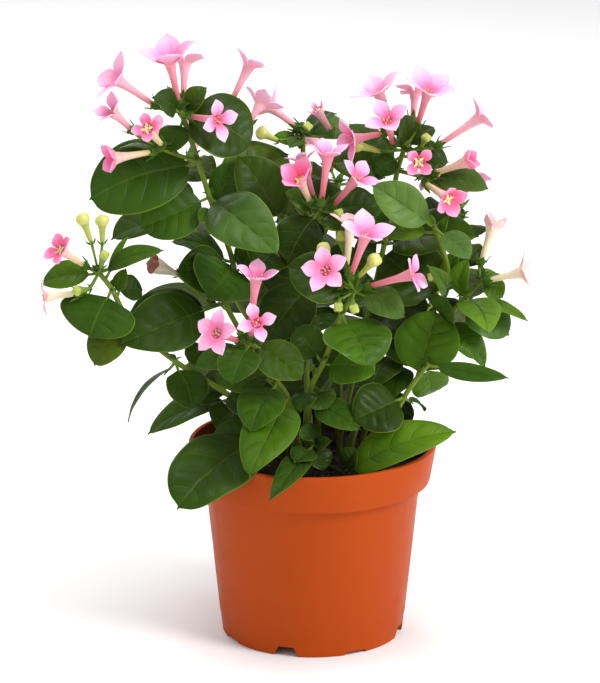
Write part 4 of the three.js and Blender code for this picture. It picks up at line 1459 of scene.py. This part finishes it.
@dataclass(frozen=True)
class Bud:
    """A stalk, a small calyx and an unopened or spent flower."""

    spike: Spike
    form: BudForm
    stalk_radii: Row = (0.7, 0.6, 0.8)
    tooth_radii: Row = (0.5, 0.42, 0.12)

    def grow(self, root: Vector, growth: Growth, whim: random.Random) -> None:
        """Grow the stalk, the neck and head of the bud, and four small teeth.

        Args:
            root: where its stalk stands.
            growth: the shoot it is added to.
            whim: varies the calyx.
        """
        foot, axis = self.spike.foot, self.spike.axis
        stalk = [root, root.lerp(foot, 0.6) + UP * -0.3, foot + axis * 0.8]
        growth.add(swept(stalk, self.stalk_radii, 7), STEM, STALK_TINT)
        profile = self.form.value
        waist = profile.waist
        stations = [foot.lerp(self.spike.throat, share) for share in profile.heights]
        neck = swept(stations[:waist + 1], profile.radii[:waist + 1], 12, profile.flutes / 2)
        growth.add(neck, CREAM, profile.neck)
        head = swept(stations[waist:], profile.radii[waist:], 16, profile.flutes)
        growth.add(head, CREAM, profile.head)
        turn = self.spike.matrix().to_3x3()
        for i in range(4):
            out = turn @ polar(1, i * FULL_TURN / 4 + whim.uniform(0, 0.4))
            low = foot + out * 0.7
            tip = low + out * 1.9 + axis * whim.uniform(2.2, 3.4)
            tooth = swept([low, low.lerp(tip, 0.5) + out * 0.3, tip], self.tooth_radii, 5)
            growth.add(tooth, STEM, CALYX_TINT)


class Curve:
    """A smooth curve through points, the same as the solids' stems follow."""

    SAMPLES = 60  # that its length is measured with

    def __init__(self, points: Sequence[Vector]) -> None:
        """Keep the points."""
        self.points = list(points)

    def at(self, share: float) -> Vector:
        """The point at a share of the way, where each stretch between points counts the same.

        Args:
            share: from 0 to 1.

        Returns:
            The point.
        """
        points = self.points
        last = len(points) - 1
        place = share * last
        i = min(int(place), last - 1)
        weight = place - i
        before = points[i - 1] if i > 0 else points[0] * 2 - points[1]
        after = points[i + 2] if i + 2 <= last else points[last] * 2 - points[last - 1]
        start, end = points[i], points[i + 1]
        gaps = [max(1e-4, (b - a).length ** 0.5) for a, b in ((before, start), (start, end), (end, after))]
        leave = ((start - before) / gaps[0] - (end - before) / (gaps[0] + gaps[1]) + (end - start) / gaps[1])
        arrive = ((end - start) / gaps[1] - (after - start) / (gaps[1] + gaps[2]) + (after - end) / gaps[2])
        leave *= gaps[1]
        arrive *= gaps[1]
        square = start * -3 + end * 3 - leave * 2 - arrive
        cube = start * 2 - end * 2 + leave + arrive
        return start + leave * weight + square * weight ** 2 + cube * weight ** 3

    def length(self) -> float:
        """The length along the curve, near enough."""
        marks = [self.at(i / self.SAMPLES) for i in range(self.SAMPLES + 1)]
        return sum((b - a).length for a, b in zip(marks, marks[1:]))


# The look of each bloom and the green of each leaf, in the plan's order
BLOOM_LOOKS = {
    "upper_left": "PALE OPEN PALE PALE YOUNG YOUNG OPEN",
    "back_top": "PALE PALE PALE PALE",
    "centre": "YOUNG OPEN OPEN OPEN",
    "upper_right": "PALE OPEN OPEN OPEN PALE PALE YOUNG YOUNG YOUNG",
    "centre_front": "OPEN OPEN FADED OPEN",
    "lower_left": "OPEN OPEN OPEN",
    "left": "YOUNG FADED",
    "right": "FADED FADED",
    "back_left": "OPEN PALE",
    "back_middle": "PALE OPEN",
    "back_right": "OPEN OPEN",
}
# The greens are the leaves' own colours, except that leaves standing in the shade of others were given
# brighter ones: painted light.
LEAF_TONES = {
    "upper_left": "MID DARK GREY MID DARK OLIVE FRESH DARK DEEP DARK MID MID MID DARK DARK DEEP MID MID",
    "back_top": "GREY DARK BRIGHT MID MID DARK DARK",
    "centre": "DARK OLIVE DARK DARK MID DARK DARK DARK MID DARK DARK DARK DARK DARK DARK",
    "upper_right": "DARK DARK DARK MID MID GREY MID MID MID DEEP DARK DARK",
    "centre_front": "DARK GREY FRESH BRIGHT MID MID MID DARK DARK DARK DARK DARK BRIGHT DARK MID",
    "lower_left": "MID DEEP MID MID MID FRESH DEEP DARK DARK",
    "left": "FRESH MID DARK OLIVE FRESH MID BRIGHT MID DARK DARK GREY DARK DARK",
    "right": "BRIGHT BRIGHT GREY BRIGHT FRESH FRESH BRIGHT BRIGHT MID MID DARK",
    "right_rosette": "PALE PALE BRIGHT BRIGHT MID DARK BRIGHT BRIGHT FRESH DARK",
    "right_low": "MID BRIGHT DARK MID MID MID FRESH",
    "back_left": "DARK " * 10,
    "back_middle": "DARK " * 10,
    "back_right": "DARK " * 9,
    "back_low": "DARK " * 5,
}
# The leaves with a broad blunt tip, by their shoot and their number on it
BLUNT_LEAVES = {("lower_left", 6), ("upper_left", 0)}


@dataclass(frozen=True)
class Shoot:
    """One shoot of the plan: its stem and forks, leaves, calyces, buds and corollas."""

    name: str
    plan: ShootPlan
    seed: int
    hole_depth: float = 12.0
    radius: float = 1.3
    step: float = 3.0
    foot_swell: float = 1.2
    taper: float = 0.3
    fork_radii: Row = (1.1, 0.95, 0.8)
    pair_spacing: float = 5.5
    flowering_tuft: Tuft = Tuft(6, 7.5)
    plain_tuft: Tuft = Tuft(3, 5.5)

    def curve(self) -> Curve:
        """The stem's curve, from the bottom of its hole in the soil to just past its last point.

        Returns:
            The curve.
        """
        points = [EYE.seen(point) for point in self.plan.stem]
        foot = Vector((points[0].x, points[0].y, SOIL_TOP - self.hole_depth))
        collar = Vector((points[0].x, points[0].y, SOIL_TOP + 1))
        end = points[-1] + (points[-1] - points[-2]).normalized() * self.radius
        return Curve([foot, collar, *points, end])

    def forks(self) -> list[tuple[Vector, Vector]]:
        """Each fork's start and end.

        Returns:
            A start and an end for each fork, in the plan's order.
        """
        count = len(self.plan.stem)
        found: list[tuple[Vector, Vector]] = []
        for point, *tip in self.plan.forks:
            start = EYE.seen(self.plan.stem[point]) if point < count else found[point - count][1]
            found.append((start, EYE.seen(tip)))
        return found

    def root(self, point: int, rank: int = 0) -> Vector:
        """Where something grows.

        Args:
            point: the stem's point or the fork's end.
            rank: how many leaves that point already carries; each pair stands lower.

        Returns:
            The root's place.
        """
        count = len(self.plan.stem)
        drop = rank // 2 * self.pair_spacing
        if point >= count:
            start, end = self.forks()[point - count]
            return end.lerp(start, min(0.8, drop / (end - start).length))
        stops = [EYE.seen(stop) for stop in self.plan.stem]
        below = (stops[point] - stops[point - 1]).length if point > 0 else (stops[1] - stops[0]).length
        share = -drop / below if point > 0 else drop / below
        curve = self.curve()
        return curve.at((point + 2 + share) / (len(curve.points) - 1))

    def grow(self, greens: Sequence[Material], petals: dict[BloomLook, list[Material]]) -> None:
        """Build the green piece of the shoot and one piece for each of its blooms.

        Args:
            greens: the materials of the green piece.
            petals: the materials of a corolla of each look.
        """
        growth = Growth()
        whim = random.Random(self.seed)
        self.grow_stem(growth)
        self.grow_leaves(growth, whim)
        looks = BLOOM_LOOKS.get(self.name, "").split()
        for number, (row, look) in enumerate(zip(self.plan.blooms, looks, strict=True), start=1):
            spike = Spike(EYE.seen(row[1:4]), EYE.seen(row[4:7]))
            Calyx(spike).grow(self.root(row[0]), growth, whim)
            corolla = Corolla(spike, *row[7:], look=BloomLook[look])
            bloom = Growth()
            corolla.build(bloom, whim)
            label = f"{self.name}_{number}"
            finish_piece(
                bloom.mesh, f"corolla_{label}", f"bloom_{label}", petals[corolla.look], 60)
        for row in self.plan.buds:
            bud = Bud(Spike(EYE.seen(row[1:4]), EYE.seen(row[4:7])), BudForm[row[7]])
            bud.grow(self.root(row[0]), growth, whim)
        flowering = {row[0] for row in (*self.plan.blooms, *self.plan.buds)}
        for point in sorted(flowering | {row[0] for row in self.plan.leaves if row[0] > 1}):
            root = self.root(point)
            if root.z > SHADED_BELOW:
                tuft = self.flowering_tuft if point in flowering else self.plain_tuft
                tuft.grow(root, growth, whim)
        finish_piece(growth.mesh, f"leaves_{self.name}", f"shoot_{self.name}", greens)

    def grow_leaves(self, growth: Growth, whim: random.Random) -> None:
        """Grow the leaves, each on the next free place of its point.

        Args:
            growth: the shoot they are added to.
            whim: varies them.
        """
        chance = Chance(self.seed)
        ranks: dict[int, int] = {}
        tones = LEAF_TONES[self.name].split()
        for number, (row, tone) in enumerate(zip(self.plan.leaves, tones, strict=True)):
            rank = ranks.get(row[0], 0)
            ranks[row[0]] = rank + 1
            leaf = Leaf(*row, tone=LeafTone[tone], blunt=(self.name, number) in BLUNT_LEAVES)
            leaf.grow(self.root(row[0], rank), chance, whim, growth)

    def grow_stem(self, growth: Growth) -> None:
        """Grow the stem, thinner upwards, and its forks.

        Args:
            growth: the shoot they are added to.
        """
        curve = self.curve()
        steps = round(curve.length() / self.step)
        path = [curve.at(i / steps) for i in range(steps + 1)]
        radii = [self.radius * (self.foot_swell - self.taper * i / steps) for i in range(steps + 1)]
        growth.add(swept(path, radii, 10), STEM, STEM_TINT)
        for start, end in self.forks():
            past = end + (end - start).normalized() * self.radius
            fork = swept([start, start.lerp(past, 0.5), past], self.fork_radii, 9)
            low = max(start.z, end.z) < SHADED_BELOW
            growth.add(fork, STEM, SHADED_TINT if low else STEM_TINT)


@dataclass(frozen=True)
class PotFinish(Finish):
    """Moulded terracotta-coloured plastic, satin, with a faint grain and faint marks of its flow."""

    colour: Row = (0.405, 0.06, 0.007)
    shadow: Row = (0.35, 0.045, 0.004)
    roughness: float = 0.42

    def sockets(self, sketch: Sketch) -> dict[str, object]:
        """The two colours in soft upright patches.

        Args:
            sketch: the material's nodes.

        Returns:
            A link or a constant for each socket.
        """
        place = sketch.place()
        flow = sketch.node("Mapping", {"Vector": place, "Scale": (1.0, 1.0, 0.25)}).outputs["Vector"]
        patches = sketch.ease(sketch.noise(flow, 22.0, 3.0), 0.35, 0.7)
        grain = sketch.bump(sketch.noise(place, 1400.0, 3.0), 0.0001, 0.3)
        low, high = self.roughness - 0.05, self.roughness + 0.07
        return {
            "Base Color": sketch.mix(sketch.times(patches, 0.35), self.colour, self.shadow),
            "Roughness": sketch.ease(sketch.noise(place, 90.0, 3.0), 0.3, 0.7, low, high),
            "Normal": sketch.bump(sketch.noise(flow, 60.0), 0.0006, 0.12, Normal=grain),
            "Specular IOR Level": 0.05,
        }


@dataclass(frozen=True)
class SoilFinish(Finish):
    """Dark moist peat with a crumbly surface, tinted by crumb."""

    def sockets(self, sketch: Sketch) -> dict[str, object]:
        """The crumb's own tint with dark specks.

        Args:
            sketch: the material's nodes.

        Returns:
            A link or a constant for each socket.
        """
        place = sketch.place()
        specks = sketch.ease(sketch.noise(place, 700.0, 4.0), 0.35, 0.65)
        return {
            "Base Color": sketch.mix(specks, sketch.tint(), (0.35, 0.32, 0.3), "MULTIPLY"),
            "Normal": sketch.bump(sketch.noise(place, 500.0, 5.0), 0.0012, 0.9),
            "Roughness": 0.95, "Specular IOR Level": 0.2,
        }


@dataclass(frozen=True)
class FloorFinish(Finish):
    """Pale and matt."""

    def sockets(self, sketch: Sketch) -> dict[str, object]:
        """One pale grey."""
        return {"Base Color": (0.93, 0.93, 0.93), "Roughness": 0.9}


@dataclass(frozen=True)
class Notches:
    """A kind of notch in the foot ring: where each stands, in degrees, its widths and its height."""

    angles: Row
    foot_width: float
    top_width: float
    height: float


@dataclass(frozen=True)
class Pot:
    """The nursery pot: a turned wall with its band, foot ring and plate, less the notches and slots."""

    height: float = 95.5
    rim_radius: float = 60.0
    band_foot_radius: float = 57.0
    band_height: float = 18.8
    body_top_radius: float = 52.1
    body_foot_radius: float = 44.1
    wall: float = 1.6
    lip: float = 2.6
    rim_rounding: float = 0.9
    lip_rounding: float = 0.7
    crease: float = 9.0
    plate_underside: float = 5.0
    plate_thickness: float = 1.6
    steps: int = 128
    merge: float = 0.001
    large: Notches = Notches((-17, 73, 163, 253), 12.6, 7.6, 4.9)
    small: Notches = Notches((28, 118, 208, -62), 11.6, 10.6, 1.5)
    notch_depth: float = 12.0
    slot: Row = (6, 12, 10)
    slot_radius: float = 30.0

    def body_radius(self, height: float) -> float:
        """The outside radius of the plain body at a height."""
        share = height / (self.height - self.band_height)
        return self.body_foot_radius + (self.body_top_radius - self.body_foot_radius) * share

    def profile(self) -> list[tuple[float, float]]:
        """The turned outline, as radius and height, from the plate's middle round to the middle again.

        Returns:
            The corners of the outline.
        """
        radius = self.body_radius
        under, top = self.plate_underside, self.plate_underside + self.plate_thickness
        band = self.height - self.band_height
        lip = self.rim_radius - self.lip
        outer, inner = self.rim_rounding, self.lip_rounding
        rim_arc = [
            (self.rim_radius - outer + outer * math.cos(a), self.height - outer + outer * math.sin(a))
            for a in (0, 0.4, 0.8, 1.2, 1.57)
        ]
        lip_arc = [
            (lip + inner * (1 - math.sin(a)), self.height - inner * (1 - math.cos(a)))
            for a in (0.6, 1.1, 1.57)
        ]
        return [
            # The underside of the plate and the foot ring
            (0, under),
            (radius(under) - self.lip, under),
            (radius(0) - self.lip, 0.4),
            (radius(0) - self.lip + 0.4, 0),
            (radius(0) - 0.5, 0),
            (radius(0), 0.5),
            # The body, with the crease above its foot
            (radius(self.crease), self.crease),
            (radius(self.crease) + 0.25, self.crease + 0.5),
            (radius(band), band - 0.5),
            (radius(band) + 0.3, band),
            # The band and the rim
            (self.band_foot_radius - 0.9, band),
            (self.band_foot_radius - 0.3, band + 0.25),
            (self.band_foot_radius, band + 0.9),
            *rim_arc,
            *lip_arc,
            # The inner side, down to the top of the plate
            (lip - 0.2, self.height - 2),
            (self.band_foot_radius - self.wall, band + 4),
            (radius(band) - self.wall, band - 2),
            (radius(top) - self.wall, top + 1),
            (radius(top) - self.wall - 1, top),
            (0, top),
        ]

    def turned(self) -> BMesh:
        """Turn the outline round the axis.

        Returns:
            The closed wall.
        """
        wall = bmesh.new()
        corners = [wall.verts.new((radius, 0, height)) for radius, height in self.profile()]
        edges = [wall.edges.new(pair) for pair in zip(corners, corners[1:])]
        bmesh.ops.spin(
            wall, geom=corners + edges, axis=UP, cent=(0, 0, 0), steps=self.steps, angle=FULL_TURN,
            use_merge=True)
        bmesh.ops.remove_doubles(wall, verts=wall.verts, dist=self.merge)
        bmesh.ops.recalc_face_normals(wall, faces=wall.faces)
        return wall

    def cutters(self) -> BMesh:
        """The wedges and slots that are cut from the foot.

        Returns:
            All the cutters in one mesh.
        """
        cutters = bmesh.new()
        for kind in (self.large, self.small):
            flare = (kind.foot_width - kind.top_width) / 2 / kind.height
            for angle in kind.angles:
                turn = Matrix.Rotation(math.radians(angle), 4, "Z")
                for vert in bmesh.ops.create_cube(cutters, size=1)["verts"]:
                    upper = vert.co.z > 0
                    half = kind.top_width / 2 if upper else kind.foot_width / 2 + flare
                    depth = -self.body_foot_radius + 2 + vert.co.y * self.notch_depth
                    vert.co = turn @ Vector((
                        math.copysign(half, vert.co.x), depth, kind.height if upper else -1))
        for angle in self.large.angles:
            turn = Matrix.Rotation(math.radians(angle), 4, "Z")
            place = turn @ Matrix.Translation((0, -self.slot_radius, self.plate_underside))
            slot = bmesh.ops.create_cube(cutters, size=1)["verts"]
            bmesh.ops.transform(cutters, matrix=place @ Matrix.Diagonal((*self.slot, 1)), verts=slot)
        return cutters

    def build(self, outside: PotFinish, inside: PotFinish) -> None:
        """Cut the turned wall and dress it.

        Args:
            outside: the finish of the pot.
            inside: its finish where it faces the soil, the terracotta darkened as painted shade.
        """
        wall = stood("pot_turned", data_of("pot_turned", self.turned()))
        cutter = stood("pot_cutters", data_of("pot_cutters", self.cutters()))
        cut = wall.modifiers.new("notches", "BOOLEAN")
        cut.operation = "DIFFERENCE"
        cut.solver = "EXACT"
        cut.object = cutter
        graph = bpy.context.evaluated_depsgraph_get()
        graph.update()
        result = bmesh.new()
        result.from_mesh(wall.evaluated_get(graph).to_mesh())
        wall.evaluated_get(graph).to_mesh_clear()
        for blank in (wall, cutter):
            data = blank.data
            bpy.data.objects.remove(blank)
            bpy.data.meshes.remove(data)
        for face in result.faces:
            centre = face.calc_center_median()
            outwards = face.normal.x * centre.x + face.normal.y * centre.y
            shaded_inner_face = outwards < -0.3 * math.hypot(centre.x, centre.y)
            face.smooth = True
            # Inner faces above the plate take the darkened copy: painted shade on the inner wall.
            face.material_index = int(shaded_inner_face and centre.z > self.plate_underside)
        finish_piece(result, "nursery_pot", "pot", [outside.material(), inside.material()], 30)


@dataclass(frozen=True)
class Soil:
    """The peat in the pot: an uneven surface with crumbs, fibres and a few pale grains on it."""

    radius: float = 55.0
    rings: int = 30
    sectors: int = 72
    skirt: tuple[Row, ...] = ((0.985, -2.4), (0.92, -7.0), (0.45, -8.0), (0.0, -8.0))
    swells: tuple[Row, ...] = ((0.045, 3.1, 1.5), (0.22, 7.7, 0.8))
    crumbs: int = 620
    most_away: float = 0.97
    seed: int = 7
    peat: Row = (0.03, 0.021, 0.016)
    crumb: Row = (0.042, 0.028, 0.02)
    pale_crumb: Row = (0.32, 0.25, 0.17)
    crumb_stretch: Row = (1.2, 1.0, 0.75)
    fibre_stretch: Row = (3.0, 0.4, 0.45)
    small_share: float = 0.8
    fibre_share: float = 0.12
    pale_share: float = 0.07

    def level(self, x: float, y: float) -> float:
        """The height of the uneven surface at a place.

        Args:
            x: how far it lies to the right of the axis.
            y: how far it lies behind the axis.

        Returns:
            The height in millimetres.
        """
        height = SOIL_TOP
        for closeness, layer, rise in self.swells:
            height += rise * noise.noise(Vector((x * closeness, y * closeness, layer)))
        return height

    def ground(self) -> BMesh:
        """The closed body of soil under the surface.

        Returns:
            The closed body.
        """
        rows = self.rings + len(self.skirt)

        def place(across: float, along: float) -> Vector:
            """The point at a share round the axis and a share from the middle to the underside.

            Args:
                across: the share across, from 0 to 1.
                along: the share along, from 0 to 1.

            Returns:
                The point.
            """
            angle = across * FULL_TURN
            ring = round(along * rows)
            if ring > self.rings:
                share, drop = self.skirt[ring - self.rings - 1]
                return polar(self.radius * share, angle, SOIL_TOP + drop)
            radius = self.radius * ring / self.rings
            x, y = radius * math.cos(angle), radius * math.sin(angle)
            return Vector((x, y, self.level(x, y)))

        return shaped(self.sectors, rows, place, closed=True)

    def scatter(self, growth: Growth, whim: random.Random) -> None:
        """Lay one crumb, fibre or pale grain on the ground.

        Args:
            growth: the soil.
            whim: where it lies, its form and its shade.
        """
        away = self.radius * self.most_away * math.sqrt(whim.random())
        angle = whim.uniform(0, FULL_TURN)
        x, y = away * math.cos(angle), away * math.sin(angle)
        size = whim.uniform(0.35, 0.9) if whim.random() < self.small_share else whim.uniform(0.9, 1.7)
        crumb = bmesh.new()
        crumb.loops.layers.uv.new("UVMap")
        bmesh.ops.create_icosphere(crumb, subdivisions=1, radius=size)
        for vert in crumb.verts:
            vert.co *= whim.uniform(0.72, 1.2)
        stretch = self.fibre_stretch if whim.random() < self.fibre_share else self.crumb_stretch
        turn = Matrix.Rotation(whim.uniform(0, ABOUT_A_TURN), 4, "Z")
        spot = Matrix.Translation((x, y, self.level(x, y) + size * 0.25))
        shade = whim.uniform(0.5, 1.5)
        base = self.pale_crumb if whim.random() < self.pale_share else self.crumb
        tint = tuple(part * shade for part in base)
        growth.add(crumb, 0, tint, spot @ turn @ Matrix.Diagonal((*stretch, 1)))

    def build(self, finish: SoilFinish) -> None:
        """Lay the ground and scatter the crumbs on it.

        Args:
            finish: the finish of the soil.
        """
        growth = Growth()
        growth.add(self.ground(), 0, self.peat)
        whim = random.Random(self.seed)
        for _ in range(self.crumbs):
            self.scatter(growth, whim)
        finish_piece(growth.mesh, "peat_surface", "soil", [finish.material()], 180)


@dataclass(frozen=True)
class Lamp:
    """A soft square light: its place, side and aim in metres, and its power in watts."""

    name: str
    place: Row
    size: float
    power: float
    aim: Row = (0, 0, 0.15)

    def hang(self) -> None:
        """Hang the light."""
        data = bpy.data.lights.new(self.name, "AREA")
        data.size = self.size
        data.energy = self.power
        lamp = stood(self.name, data)
        lamp.location = self.place
        lamp.rotation_euler = (Vector(self.aim) - Vector(self.place)).to_track_quat("-Z", "Y").to_euler()


@dataclass(frozen=True)
class Studio:
    """The pale floor, the soft lights and the camera at the photograph's angle."""

    lens: float = 174.3
    pitch: float = 15.9
    camera_at: Row = (-6.1, -1525.0, 579.3)
    floor_size: float = 14.0
    lamps: tuple[Lamp, ...] = (
        Lamp("key", (1.3, -0.9, 1.3), 0.7, 28),
        Lamp("fill", (-1.2, -1.2, 0.9), 1.2, 2),
        Lamp("side", (1.5, 0.0, 0.45), 0.8, 5, (0, 0, 0.1)),
        Lamp("top", (-0.1, 0.1, 1.7), 1.0, 14),
        Lamp("back", (-0.6, 1.4, 0.9), 1.0, 7),
    )
    daylight: float = 0.6

    def camera(self) -> None:
        """Stand the camera where the plant was seen from."""
        data = bpy.data.cameras.new("camera")
        data.lens = self.lens
        data.clip_end = 50
        camera = stood("camera", data)
        camera.location = POT_AXIS + Vector(self.camera_at) * MILLIMETRE
        camera.rotation_euler = (math.radians(90 - self.pitch), 0, 0)
        bpy.context.scene.camera = camera

    def floor(self) -> None:
        """Lay a pale matt floor."""
        sheet = bmesh.new()
        bmesh.ops.create_grid(sheet, x_segments=1, y_segments=1, size=self.floor_size / 2)
        floor = stood("floor", data_of("floor", sheet))
        floor.data.materials.append(FloorFinish("floor").material())

    def build(self) -> None:
        """Set up the whole studio."""
        self.camera()
        self.floor()
        for lamp in self.lamps:
            lamp.hang()
        scene = bpy.context.scene
        scene.view_settings.view_transform = "Standard"
        scene.world = bpy.data.worlds.new("studio")
        scene.world.use_nodes = True
        background = scene.world.node_tree.nodes["Background"]
        background.inputs["Color"].default_value = (1, 1, 1, 1)
        background.inputs["Strength"].default_value = self.daylight


def main() -> None:
    """Build the studio, the pot, the soil and the plant."""
    logging.basicConfig(level=logging.INFO, format="%(message)s")
    Studio().build()
    anther = AntherFinish("anther").material()
    petals = {
        look: [look.value.side(inside=False), look.value.side(inside=True), anther] for look in BloomLook
    }
    greens = [
        finish.material() for finish in (
            LeafFinish("leaf"), UndersideFinish("leaf_underside"), StemFinish("stem"), BudFinish("bud"))
    ]
    # The inner wall's finish is the terracotta darkened: painted shade under the leaves.
    inside = PotFinish("pot_inside_painted_shade", (0.09, 0.016, 0.005), (0.05, 0.012, 0.006), 0.6)
    Pot().build(PotFinish("pot_plastic"), inside)
    Soil().build(SoilFinish("peat"))
    for number, (name, plan) in enumerate(PLAN.items()):
        Shoot(name, plan, FIRST_SEED + number).grow(greens, petals)


if __name__ == "__main__":
    main()
